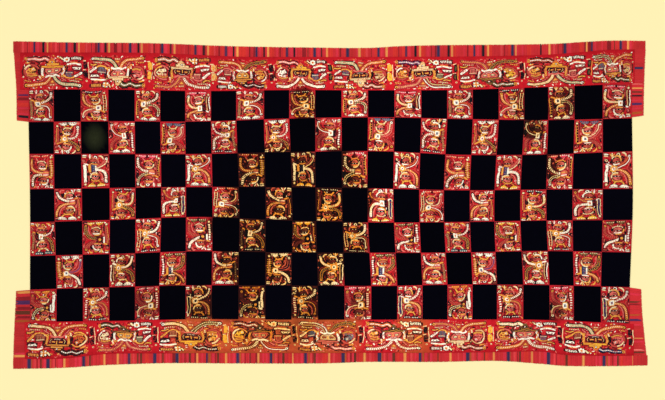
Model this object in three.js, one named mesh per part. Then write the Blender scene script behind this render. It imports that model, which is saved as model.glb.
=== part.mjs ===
import * as THREE from "three";

// Funerary mantle: a long woven cloth with an embroidered check field, an embroidered band sewn along each long
// edge, and a striped fringe sewn round each band and down the first square of each short side.
// Millimetres, +Z up. It lies flat and face up on z = 0, length along X and width along Y, centred on the origin.

// Driving dimensions
const COLUMNS = 23; // squares along the length
const ROWS = 7; // squares across the width
const FIELD_THICK = 1.9; // ground cloth with its stem-stitch, at the middle of a square
const FIELD_SEAM_THICK = 1.5; // ground cloth between two squares
const BAND_THICK = 2.2; // band with its stem-stitch, along its middle
const BAND_EDGE_THICK = 1.7; // band along both of its edges
const FRINGE_THICK = 1.6; // fringe and its woven heading
const GAP = 0.3; // between two pieces that are sewn edge to edge
const COCKLE = 0.15; // slow rise and fall of the upper face
const TOOTH_PITCH = 28; // one group of fringe loops
const SLIT = 1.4; // between two groups
const SLIT_SHARE = 0.72; // how much of the fringe's depth the slits cut
const BAND_STEPS = 3; // rows of facets across a band

// The lines between rows of squares, from the top seam down. Each row is one line, and each column is its height at
// a station along the length. The spacing is as uneven as the embroidery has drawn it.
const STATIONS = { end_l: -1210, l3: -882, l2: -522, l1: -162, r1: 198, r2: 518, r3: 858, end_r: 1206 };
const ROW_LINES = [
  { end_l: 461, l3: 461, l2: 455, l1: 459, r1: 458, r2: 460, r3: 471, end_r: 485 },
  { end_l: 331, l3: 334, l2: 333, l1: 345, r1: 350, r2: 343, r3: 339, end_r: 346 },
  { end_l: 203, l3: 203, l2: 203, l1: 211, r1: 214, r2: 200, r3: 201, end_r: 214 },
  { end_l: 62, l3: 67, l2: 71, l1: 70, r1: 65, r2: 58, r3: 61, end_r: 64 },
  { end_l: -71, l3: -61, l2: -49, l1: -63, r1: -71, r2: -69, r3: -63, end_r: -61 },
  { end_l: -205, l3: -197, l2: -186, l1: -191, r1: -192, r2: -191, r3: -185, end_r: -191 },
  { end_l: -340, l3: -330, l2: -322, l1: -323, r1: -325, r2: -319, r3: -321, end_r: -330 },
  { end_l: -469, l3: -465, l2: -458, l1: -460, r1: -460, r2: -459, r3: -461, end_r: -477 },
];

// The lines between columns of squares, from the left edge on. Each row is one line, and the columns are its place
// in the upper rows, the middle rows and the lower rows.
const COLUMN_LINES = [
  { upper: -1208, middle: -1202, lower: -1202 },
  { upper: -1107, middle: -1104, lower: -1096 },
  { upper: -999, middle: -994, lower: -990 },
  { upper: -889, middle: -883, lower: -885 },
  { upper: -783, middle: -780, lower: -782 },
  { upper: -681, middle: -677, lower: -685 },
  { upper: -581, middle: -578, lower: -579 },
  { upper: -478, middle: -472, lower: -475 },
  { upper: -377, middle: -365, lower: -368 },
  { upper: -266, middle: -260, lower: -261 },
  { upper: -165, middle: -153, lower: -156 },
  { upper: -61, middle: -59, lower: -50 },
  { upper: 44, middle: 47, lower: 56 },
  { upper: 150, middle: 148, lower: 163 },
  { upper: 256, middle: 252, lower: 267 },
  { upper: 363, middle: 355, lower: 368 },
  { upper: 467, middle: 453, lower: 468 },
  { upper: 569, middle: 557, lower: 568 },
  { upper: 673, middle: 655, lower: 666 },
  { upper: 775, middle: 759, lower: 771 },
  { upper: 871, middle: 863, lower: 876 },
  { upper: 976, middle: 968, lower: 973 },
  { upper: 1089, middle: 1089, lower: 1082 },
  { upper: 1206, middle: 1209, lower: 1197 },
];
const UPPER_Y = 340, MIDDLE_Y = 0, LOWER_Y = -320;

// The long edges. Each row is a station: rim is the fringe's free edge and heading is where it is sewn to the band.
const TOP_EDGE = [
  { x: -1270, rim: 655, heading: 609 },
  { x: -1040, rim: 650, heading: 609 },
  { x: -720, rim: 647, heading: 607 },
  { x: -482, rim: 638, heading: 597 },
  { x: -362, rim: 634, heading: 592 },
  { x: -42, rim: 629, heading: 591 },
  { x: 150, rim: 628, heading: 591 },
  { x: 278, rim: 635, heading: 592 },
  { x: 438, rim: 639, heading: 592 },
  { x: 678, rim: 641, heading: 595 },
  { x: 878, rim: 644, heading: 601 },
  { x: 998, rim: 651, heading: 610 },
  { x: 1118, rim: 657, heading: 620 },
  { x: 1270, rim: 656, heading: 621 },
];
const BOTTOM_EDGE = [
  { x: -1270, rim: -657, heading: -616 },
  { x: -1070, rim: -653, heading: -615 },
  { x: -902, rim: -642, heading: -597 },
  { x: -650, rim: -634, heading: -594 },
  { x: -402, rim: -635, heading: -593 },
  { x: -34, rim: -635, heading: -593 },
  { x: 150, rim: -629, heading: -592 },
  { x: 438, rim: -629, heading: -592 },
  { x: 666, rim: -625, heading: -589 },
  { x: 842, rim: -637, heading: -587 },
  { x: 938, rim: -645, heading: -600 },
  { x: 1118, rim: -646, heading: -604 },
  { x: 1270, rim: -643, heading: -602 },
];

// The four fringe legs down the short sides. rim is the free edge at each height, foot is where the leg ends at its
// rim and root where it ends beside the field.
const LEGS = {
  top_left: { side: -1, rows: [{ y: 655, rim: -1270 }, { y: 560, rim: -1264 }, { y: 475, rim: -1258 }, { y: 333, rim: -1256 }], foot: 338, root: 332 },
  top_right: { side: 1, rows: [{ y: 656, rim: 1263 }, { y: 560, rim: 1258 }, { y: 475, rim: 1255 }, { y: 346, rim: 1253 }], foot: 357, root: 350 },
  bottom_left: { side: -1, rows: [{ y: -341, rim: -1258 }, { y: -464, rim: -1264 }, { y: -560, rim: -1268 }, { y: -657, rim: -1270 }], foot: -345, root: -341 },
  bottom_right: { side: 1, rows: [{ y: -331, rim: 1243 }, { y: -421, rim: 1247 }, { y: -541, rim: 1258 }, { y: -643, rim: 1270 }], foot: -338, root: -331 },
};

// The bands' ends. They reach a little past the field on either side.
const BAND_ENDS = {
  top: { left: -1241, right: 1216 },
  bottom: { left: -1223, right: 1213 },
};

// Smooth curve through a table's stations, straight past its ends.
function along(rows, at, want, t) {
  let i = 0;
  while (i < rows.length - 2 && Math.sign(rows[i + 1][at] - rows[i][at]) * (t - rows[i + 1][at]) > 0) i++;
  const p = (k) => rows[Math.min(Math.max(k, 0), rows.length - 1)];
  const slope = (k) => {
    const a = p(k - 1), b = p(k + 1);
    return (b[want] - a[want]) / (b[at] - a[at]);
  };
  const a = p(i), b = p(i + 1), h = b[at] - a[at];
  const s = Math.min(Math.max((t - a[at]) / h, 0), 1), u = 1 - s;
  return a[want] * (1 + 2 * s) * u * u + b[want] * (1 + 2 * u) * s * s + h * s * u * (slope(i) * u - slope(i + 1) * s);
}

const stationRows = ROW_LINES.map((line) => Object.keys(STATIONS).map((k) => ({ x: STATIONS[k], y: line[k] })));
const rowLine = (k, x) => along(stationRows[k], "x", "y", x);
const columnRows = COLUMN_LINES.map((c) => [
  { y: UPPER_Y, x: c.upper }, { y: MIDDLE_Y, x: c.middle }, { y: LOWER_Y, x: c.lower },
]);
const columnLine = (j, y) => along(columnRows[j], "y", "x", y);

// A place on the check: u counts columns from the left edge, v counts rows from the top seam.
function onCheck(u, v) {
  const j = Math.min(Math.floor(u), COLUMNS - 1), k = Math.min(Math.floor(v), ROWS - 1);
  let y = UPPER_Y - ((UPPER_Y - LOWER_Y) * v) / ROWS, x = 0;
  for (let pass = 0; pass < 4; pass++) {
    x = columnLine(j, y) * (1 - (u - j)) + columnLine(j + 1, y) * (u - j);
    y = rowLine(k, x) * (1 - (v - k)) + rowLine(k + 1, x) * (v - k);
  }
  return [x, y];
}
const cockle = (x, y) => COCKLE * Math.sin(x / 167 + 0.8) * Math.sin(y / 131 + x / 700 + 0.4);

// One closed sheet from a grid of places (x, y) with a height for the upper face. The under face is flat on z = 0.
function sheet(across, down, place, height) {
  const position = [], index = [], n = across + 1, all = n * (down + 1);
  for (const upper of [true, false]) {
    for (let r = 0; r <= down; r++) {
      for (let c = 0; c <= across; c++) {
        const [x, y] = place(c, r);
        position.push(x, y, upper ? height(c, r, x, y) : 0);
      }
    }
  }
  const quad = (a, b, c, d) => index.push(a, b, c, a, c, d);
  for (let r = 0; r < down; r++) {
    for (let c = 0; c < across; c++) {
      const a = r * n + c;
      quad(a, a + n, a + n + 1, a + 1);
      quad(all + a, all + a + 1, all + a + n + 1, all + a + n);
    }
  }
  const wall = (a, b) => quad(a, b, all + b, all + a);
  for (let c = 0; c < across; c++) {
    wall(c, c + 1);
    wall(down * n + c + 1, down * n + c);
  }
  for (let r = 0; r < down; r++) {
    wall((r + 1) * n, r * n);
    wall(r * n + across, (r + 1) * n + across);
  }
  const geometry = new THREE.BufferGeometry();
  geometry.setAttribute("position", new THREE.Float32BufferAttribute(position, 3));
  geometry.setIndex(index);
  geometry.computeVertexNormals();
  return geometry;
}

// The field: each square stands a little proud of the lines between squares.
function fieldCloth() {
  return sheet(
    COLUMNS * 2, ROWS * 2,
    (c, r) => {
      const [x, y] = onCheck(c / 2, r / 2);
      return [x, y - (r === 0 ? GAP / 2 : 0) + (r === ROWS * 2 ? GAP / 2 : 0)];
    },
    (c, r, x, y) => (c % 2 && r % 2 ? FIELD_THICK : FIELD_SEAM_THICK) + cockle(x, y),
  );
}

// A band runs from its seam with the field to its heading. It is a little longer than the field's edge there.
function band(edge, line, ends) {
  const steps = COLUMNS * 2, out = Math.sign(edge[0].rim);
  return sheet(
    steps + 2, BAND_STEPS,
    (c, r) => {
      const share = out > 0 ? 1 - r / BAND_STEPS : r / BAND_STEPS;
      const x = c === 0 ? ends.left : c === steps + 2 ? ends.right : onCheck((c - 1) / 2, line)[0];
      const inner = rowLine(line, x) + (out * GAP) / 2;
      const outer = along(edge, "x", "heading", x) - (out * GAP) / 2;
      return [x, inner + (outer - inner) * share];
    },
    (c, r, x, y) => (r % BAND_STEPS ? BAND_THICK : BAND_EDGE_THICK) + cockle(x, y),
  );
}

// Cuts a run from a to b into slits square to it, one each pitch. Each slit is four corners of the outline.
function slitted(a, b, depth, into) {
  const points = [a], run = b.clone().sub(a), count = Math.max(Math.round(run.length() / TOOTH_PITCH), 1);
  const dir = run.clone().normalize();
  for (let i = 1; i < count; i++) {
    const mid = a.clone().addScaledVector(run, i / count);
    const l = mid.clone().addScaledVector(dir, -SLIT / 2), r = mid.clone().addScaledVector(dir, SLIT / 2);
    const cut = depth(mid) * SLIT_SHARE;
    points.push(l, l.clone().addScaledVector(into, cut), r.clone().addScaledVector(into, cut), r);
  }
  return points;
}

// One fringe: a single comb that turns both corners. Its outline goes along the free edge from one leg's foot to the
// other's, and back along the heading and the legs' roots.
function fringe(edge, left, right, line, ends) {
  const out = Math.sign(edge[0].rim);
  const v = (x, y) => new THREE.Vector2(x, y);
  const rimX = (leg, y) => along(leg.rows, "y", "rim", y);
  const rimY = (x) => along(edge, "x", "rim", x);
  const fieldEnd = (side, y) => columnLine(side < 0 ? 0 : COLUMNS, y) + side * GAP;
  const seamY = (leg) => onCheck(leg.side < 0 ? 0 : COLUMNS, line)[1] - (out * GAP) / 2;
  const rootX = (leg, y) => (out * (y - seamY(leg)) > -2 ? (leg.side < 0 ? ends.left : ends.right) : fieldEnd(leg.side, y));
  const points = [];
  // Free edge: the left leg upwards or downwards, the long run, then the right leg back.
  const legRun = (leg) => {
    const cornerY = rimY(leg.side * 1262);
    const stops = [0, 1, 2].map((k) => leg.foot + ((cornerY - out * 50 - leg.foot) * k) / 2);
    const run = [];
    for (let k = 0; k < 2; k++) {
      const a = v(rimX(leg, stops[k]), stops[k]), b = v(rimX(leg, stops[k + 1]), stops[k + 1]);
      run.push(...slitted(a, b, (p) => Math.abs(rimX(leg, p.y) - rootX(leg, p.y)), v(-leg.side, 0)));
    }
    run.push(v(rimX(leg, stops[2]), stops[2]), v(rimX(leg, cornerY), cornerY));
    return run;
  };
  points.push(...legRun(left));
  const inset = 55, spans = 16, x0 = points[points.length - 1].x + inset, x1 = rimX(right, rimY(1262)) - inset;
  for (let k = 0; k < spans; k++) {
    const xa = x0 + ((x1 - x0) * k) / spans, xb = x0 + ((x1 - x0) * (k + 1)) / spans;
    points.push(...slitted(v(xa, rimY(xa)), v(xb, rimY(xb)), (p) => Math.abs(rimY(p.x) - along(edge, "x", "heading", p.x)), v(0, -out)));
  }
  points.push(v(x1, rimY(x1)));
  points.push(...legRun(right).reverse());
  // Back along the right leg's root, round the band's end, along the heading and down the left leg's root.
  const headY = (x) => along(edge, "x", "heading", x) + (out * GAP) / 2;
  const rootRun = (leg, bandEnd) => {
    const seam = seamY(leg), end = bandEnd + leg.side * GAP;
    const run = [leg.root, leg.root + ((seam - leg.root) * 2) / 3, seam].map((y) => v(fieldEnd(leg.side, y), y));
    return [...run, v(end, rowLine(line, bandEnd) - (out * GAP) / 2), v(end, headY(end))];
  };
  const endL = rootRun(left, ends.left), endR = rootRun(right, ends.right);
  points.push(...endR);
  const steps = COLUMNS * 2;
  for (let k = steps; k >= 0; k--) {
    const [x] = onCheck(k / 2, line);
    points.push(v(x, headY(x)));
  }
  points.push(...endL.reverse());
  const shape = new THREE.Shape(points);
  return new THREE.ExtrudeGeometry(shape, { depth: FRINGE_THICK, bevelEnabled: false, steps: 1 });
}

const mantle = new THREE.Group();
function add(name, geometry, color) {
  const mesh = new THREE.Mesh(geometry, new THREE.MeshStandardMaterial({ color, roughness: 0.95, metalness: 0 }));
  mesh.name = name;
  mantle.add(mesh);
}
add("field", fieldCloth(), 0x2a0d14);
add("border_top", band(TOP_EDGE, 0, BAND_ENDS.top), 0xb01c26);
add("border_bottom", band(BOTTOM_EDGE, ROWS, BAND_ENDS.bottom), 0xb01c26);
add("fringe_top", fringe(TOP_EDGE, LEGS.top_left, LEGS.top_right, 0, BAND_ENDS.top), 0xc02a38);
add("fringe_bottom", fringe(BOTTOM_EDGE, LEGS.bottom_left, LEGS.bottom_right, ROWS, BAND_ENDS.bottom), 0xc02a38);

export default mantle;
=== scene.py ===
# Funerary mantle, laid flat and face up: a dark woven cloth with a stitched check field, figured bands along both
# long edges and a striped fringe round the bands. Drawing is in millimetres, the scene in metres.
import math

import bpy
import numpy as np
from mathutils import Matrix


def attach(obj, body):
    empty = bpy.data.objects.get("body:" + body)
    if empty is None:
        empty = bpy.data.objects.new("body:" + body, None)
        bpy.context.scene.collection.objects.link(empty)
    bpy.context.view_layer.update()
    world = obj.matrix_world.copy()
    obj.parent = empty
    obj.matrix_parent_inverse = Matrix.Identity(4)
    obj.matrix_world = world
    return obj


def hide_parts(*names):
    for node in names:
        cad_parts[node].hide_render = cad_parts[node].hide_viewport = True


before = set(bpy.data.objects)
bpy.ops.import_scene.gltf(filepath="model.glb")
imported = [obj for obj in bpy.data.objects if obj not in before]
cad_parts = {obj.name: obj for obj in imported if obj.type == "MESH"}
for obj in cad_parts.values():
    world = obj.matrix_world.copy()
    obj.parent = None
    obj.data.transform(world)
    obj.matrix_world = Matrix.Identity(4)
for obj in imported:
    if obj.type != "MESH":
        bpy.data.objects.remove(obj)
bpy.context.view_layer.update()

MM = 0.001
COLUMNS, ROWS = 23, 7
GAP = 0.3
SEAM = 0.03  # the sewn pieces all but touch

# ---------------------------------------------------------------------------------------------------------------
# The outline and the uneven check, in millimetres, as on the solids.

STATIONS = [-1210, -882, -522, -162, 198, 518, 858, 1206]
ROW_LINES = [
    [461, 461, 455, 459, 458, 460, 471, 485],
    [331, 334, 333, 345, 350, 343, 339, 346],
    [203, 203, 203, 211, 214, 200, 201, 214],
    [62, 67, 71, 70, 65, 58, 61, 64],
    [-71, -61, -49, -63, -71, -69, -63, -61],
    [-205, -197, -186, -191, -192, -191, -185, -191],
    [-340, -330, -322, -323, -325, -319, -321, -330],
    [-469, -465, -458, -460, -460, -459, -461, -477],
]
# Each column line: its place in the upper rows, the middle rows and the lower rows.
COLUMN_LINES = [
    (-1208, -1202, -1202), (-1107, -1104, -1096), (-999, -994, -990), (-889, -883, -885), (-783, -780, -782),
    (-681, -677, -685), (-581, -578, -579), (-478, -472, -475), (-377, -365, -368), (-266, -260, -261),
    (-165, -153, -156), (-61, -59, -50), (44, 47, 56), (150, 148, 163), (256, 252, 267), (363, 355, 368),
    (467, 453, 468), (569, 557, 568), (673, 655, 666), (775, 759, 771), (871, 863, 876), (976, 968, 973),
    (1089, 1089, 1082), (1206, 1209, 1197),
]
UPPER_Y, MIDDLE_Y, LOWER_Y = 340, 0, -320
# The long edges, station by station: x, the fringe's free edge, and where the fringe is sewn to the band.
TOP_EDGE = [
    (-1270, 655, 609), (-1040, 650, 609), (-720, 647, 607), (-482, 638, 597), (-362, 634, 592), (-42, 629, 591),
    (150, 628, 591), (278, 635, 592), (438, 639, 592), (678, 641, 595), (878, 644, 601), (998, 651, 610),
    (1118, 657, 620), (1270, 656, 621),
]
BOTTOM_EDGE = [
    (-1270, -657, -616), (-1070, -653, -615), (-902, -642, -597), (-650, -634, -594), (-402, -635, -593),
    (-34, -635, -593), (150, -629, -592), (438, -629, -592), (666, -625, -589), (842, -637, -587),
    (938, -645, -600), (1118, -646, -604), (1270, -643, -602),
]
# The fringe's legs down the short sides: height and free edge at each station, then where the leg ends.
LEGS = {
    "top_left": dict(side=-1, rows=[(655, -1270), (560, -1264), (475, -1258), (333, -1256)], foot=338, root=332),
    "top_right": dict(side=1, rows=[(656, 1263), (560, 1258), (475, 1255), (346, 1253)], foot=357, root=350),
    "bottom_left": dict(side=-1, rows=[(-341, -1258), (-464, -1264), (-560, -1268), (-657, -1270)], foot=-345, root=-341),
    "bottom_right": dict(side=1, rows=[(-331, 1243), (-421, 1247), (-541, 1258), (-643, 1270)], foot=-338, root=-331),
}


def along(stations, values, t):
    """Smooth curve through values at stations, level past its ends."""
    s, v = np.asarray(stations, float), np.asarray(values, float)
    if s[0] > s[-1]:
        s, v = s[::-1], v[::-1]
    t = np.asarray(t, float)
    i = np.clip(np.searchsorted(s, t, "right") - 1, 0, len(s) - 2)
    lo, hi = np.maximum(np.arange(len(s)) - 1, 0), np.minimum(np.arange(len(s)) + 1, len(s) - 1)
    slope = (v[hi] - v[lo]) / (s[hi] - s[lo])
    h = s[i + 1] - s[i]
    a = np.clip((t - s[i]) / h, 0, 1)
    b = 1 - a
    return (v[i] * (1 + 2 * a) * b * b + v[i + 1] * (1 + 2 * b) * a * a
            + h * a * b * (slope[i] * b - slope[i + 1] * a))


def row_line(k, x):
    return along(STATIONS, ROW_LINES[k], x)


def column_line(j, y):
    return along([UPPER_Y, MIDDLE_Y, LOWER_Y], COLUMN_LINES[j], y)


def on_check(u, v):
    """Places on the check: u counts columns from the left edge, v counts rows from the top seam."""
    u, v = np.broadcast_arrays(np.asarray(u, float), np.asarray(v, float))
    shape = u.shape
    u, v = u.ravel(), v.ravel()
    j, k = np.clip(u.astype(int), 0, COLUMNS - 1), np.clip(v.astype(int), 0, ROWS - 1)
    y = UPPER_Y - (UPPER_Y - LOWER_Y) * v / ROWS
    x = np.zeros_like(y)
    every = np.arange(len(u))
    for _ in range(4):
        lines = np.stack([column_line(c, y) for c in range(COLUMNS + 1)])
        x = lines[j, every] * (1 - (u - j)) + lines[j + 1, every] * (u - j)
        rows = np.stack([row_line(r, x) for r in range(ROWS + 1)])
        y = rows[k, every] * (1 - (v - k)) + rows[k + 1, every] * (v - k)
    return x.reshape(shape), y.reshape(shape)


def edge_line(edge, which, x):
    return along([e[0] for e in edge], [e[which] for e in edge], x)


def cockle(x, y):
    return 0.15 * np.sin(x / 167 + 0.8) * np.sin(y / 131 + x / 700 + 0.4)


def swell(t):
    return 1 - (2 * t - 1) ** 4


def field_top(u, v, x, y):
    return 1.45 + 0.3 * swell(u % 1) * swell(v % 1) + cockle(x, y)


def band_top(s, x, y):
    return 1.7 + 0.4 * swell(s) + cockle(x, y)


# ---------------------------------------------------------------------------------------------------------------
# Dyes, as linear colours.

DYES = {
    "margin": (0.440, 0.018, 0.026),
    "crimson": (0.560, 0.020, 0.026), "deep_red": (0.300, 0.010, 0.014), "wine": (0.120, 0.007, 0.012),
    "maroon": (0.110, 0.007, 0.007), "pink": (0.780, 0.070, 0.110), "rose": (0.740, 0.150, 0.110), "coral": (0.540, 0.078, 0.048),
    "ember": (0.600, 0.046, 0.034), "scarlet": (0.700, 0.035, 0.022),
    "cream": (0.930, 0.720, 0.370), "white": (1.000, 0.930, 0.720), "gold": (0.860, 0.370, 0.055),
    "yellow": (0.900, 0.480, 0.035), "straw": (0.760, 0.450, 0.170), "orange": (0.660, 0.145, 0.028),
    "tan": (0.520, 0.150, 0.070), "brown": (0.190, 0.020, 0.012), "umber": (0.042, 0.007, 0.005),
    "ink": (0.005, 0.003, 0.005), "olive": (0.130, 0.085, 0.022), "moss": (0.060, 0.080, 0.022),
    "sage": (0.280, 0.270, 0.140), "blue": (0.016, 0.030, 0.100), "slate": (0.150, 0.160, 0.200),
    "teal": (0.015, 0.090, 0.095), "violet": (0.150, 0.040, 0.120), "rust": (0.400, 0.062, 0.022),
    "ivory": (0.640, 0.570, 0.290),
}

# Where the crimson ground is dark brown instead, as (x, y, half width, half height, strength) in millimetres.
DARK_PLACES = [
    (-190, -180, 275, 395, 1.0), (-250, 60, 190, 170, 1.0), (30, -60, 130, 300, 1.0), (-520, -400, 70, 72, 1.0),
    (-106, 395, 52, 75, 0.9), (-330, 232, 60, 34, 0.9), (-75, 270, 40, 60, 0.5), (60, 110, 70, 60, 0.8),
    (768, 385, 46, 70, 0.6), (930, 405, 62, 72, 0.8), (806, 300, 50, 44, 1.0), (884, 160, 40, 66, 0.9),
    (890, -430, 44, 40, 0.7), (-835, -262, 56, 66, 0.45), (-735, -392, 62, 70, 0.5), (-636, -300, 46, 36, 0.7),
    (120, -400, 40, 70, 0.8), (700, -300, 50, 46, 0.35), (-110, 135, 92, 104, 1.0), (-326, 140, 84, 96, 1.0),
]
# Where the lower band's ground is orange brown, as (left end, right end) in millimetres.
RUSTY_RUNS = [(-650, 128), (252, 410)]


def darkness(x, y):
    d = np.zeros_like(x)
    wob = 0.10 * np.sin(x / 37 + y / 51) + 0.08 * np.sin(y / 29 - x / 61)
    for cx, cy, rx, ry, k in DARK_PLACES:
        r = np.sqrt(((x - cx) / rx) ** 2 + ((y - cy) / ry) ** 2) + wob
        d = np.maximum(d, k * np.clip((1.08 - r) / 0.16, 0, 1))
    return d


def rustiness(x, y):
    d = np.zeros_like(x)
    for a, b in RUSTY_RUNS:
        d = np.maximum(d, np.clip((x - a) / 30, 0, 1) * np.clip((b - x) / 30, 0, 1))
    # redder again in patches
    patch = np.sin(x / 13.0 + 2.1 * np.sin(y / 17.0)) * np.sin(y / 11.0 + 1.7 * np.sin(x / 23.0)) + 0.6 * np.sin(x / 47.0 + y / 31.0)
    return d * (y < -455) * np.clip(0.90 - 0.42 * np.clip(patch, -0.2, 1.0), 0, 1)


def noise01(i):
    """A fixed scatter in 0 to 1 for whole numbers."""
    i = np.asarray(i, dtype=np.uint64)
    with np.errstate(over="ignore"):
        i = (i ^ (i >> np.uint64(16))) * np.uint64(0x45D9F3B)
        i = (i ^ (i >> np.uint64(16))) * np.uint64(0x45D9F3B)
        i = i ^ (i >> np.uint64(16))
    return (i & np.uint64(0xFFFF)).astype(float) / 65535.0


def freshness(x, y):
    """Broad unevenness: a little brighter right of the middle, duller at both ends and in the last row."""
    return (1 + 0.16 * np.exp(-((x - 190) / 320) ** 2) - 0.12 * np.clip((np.abs(x) - 880) / 300, 0, 1)
            - 0.08 * np.clip((-320 - y) / 60, 0, 1) * (y > -470))


def aged(rgb, x, y, is_ground):
    """Colours as they have aged at each place."""
    rgb = rgb * freshness(x, y)[:, None]
    d = darkness(x, y)[:, None]
    # pale wools stay fairly bright where the cloth has browned, and deeper ones sink into the dark
    t = np.clip((rgb.max(1) - 0.45) / 0.48, 0, 1)
    keep = (0.06 + 0.88 * t * t * (3 - 2 * t))[:, None]
    out = rgb * (1 - d * 0.96) + rgb * np.array([1.07, 0.76, 0.38]) * keep * d * 0.96
    g = is_ground[:, None]
    out = np.where(g, rgb * (1 - d) + np.array([0.030, 0.0045, 0.0030]) * d, out)
    r = rustiness(x, y)[:, None]
    out = np.where(g, out * (1 - 0.88 * r) + np.array([0.49, 0.086, 0.022]) * 0.88 * r, out * (1 - r * np.array([0.0, 0.09, 0.32])))
    return out


# ---------------------------------------------------------------------------------------------------------------
# The needle: strokes of raised stitching in a flat drawing space, in millimetres, y downwards.

LAYER_STEP, RISE = 0.20, 0.15


def smooth_path(points, step=3.2, closed=False):
    p = np.asarray(points, float)
    if len(p) == 2:
        n = max(int(np.hypot(*(p[1] - p[0])) / (step * 2)), 1)
        t = np.linspace(0, 1, n + 1)[:, None]
        return p[0] * (1 - t) + p[1] * t
    q = np.vstack([p[-1], p, p[0], p[1]]) if closed else np.vstack([2 * p[0] - p[1], p, 2 * p[-1] - p[-2]])
    out = []
    for i in range(1, len(q) - 2):
        n = max(int(round(np.hypot(*(q[i + 1] - q[i])) / step)), 2)
        t = np.arange(n)[:, None] / n
        a, b, c, d = q[i - 1], q[i], q[i + 1], q[i + 2]
        out.append(0.5 * (2 * b + (c - a) * t + (2 * a - 5 * b + 4 * c - d) * t ** 2 + (3 * b - a - 3 * c + d) * t ** 3))
    out.append(q[-2][None])
    return np.vstack(out)


def normals_of(path):
    d = np.gradient(path, axis=0)
    d /= np.maximum(np.linalg.norm(d, axis=1), 1e-9)[:, None]
    return np.stack([-d[:, 1], d[:, 0]], 1), d


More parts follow.
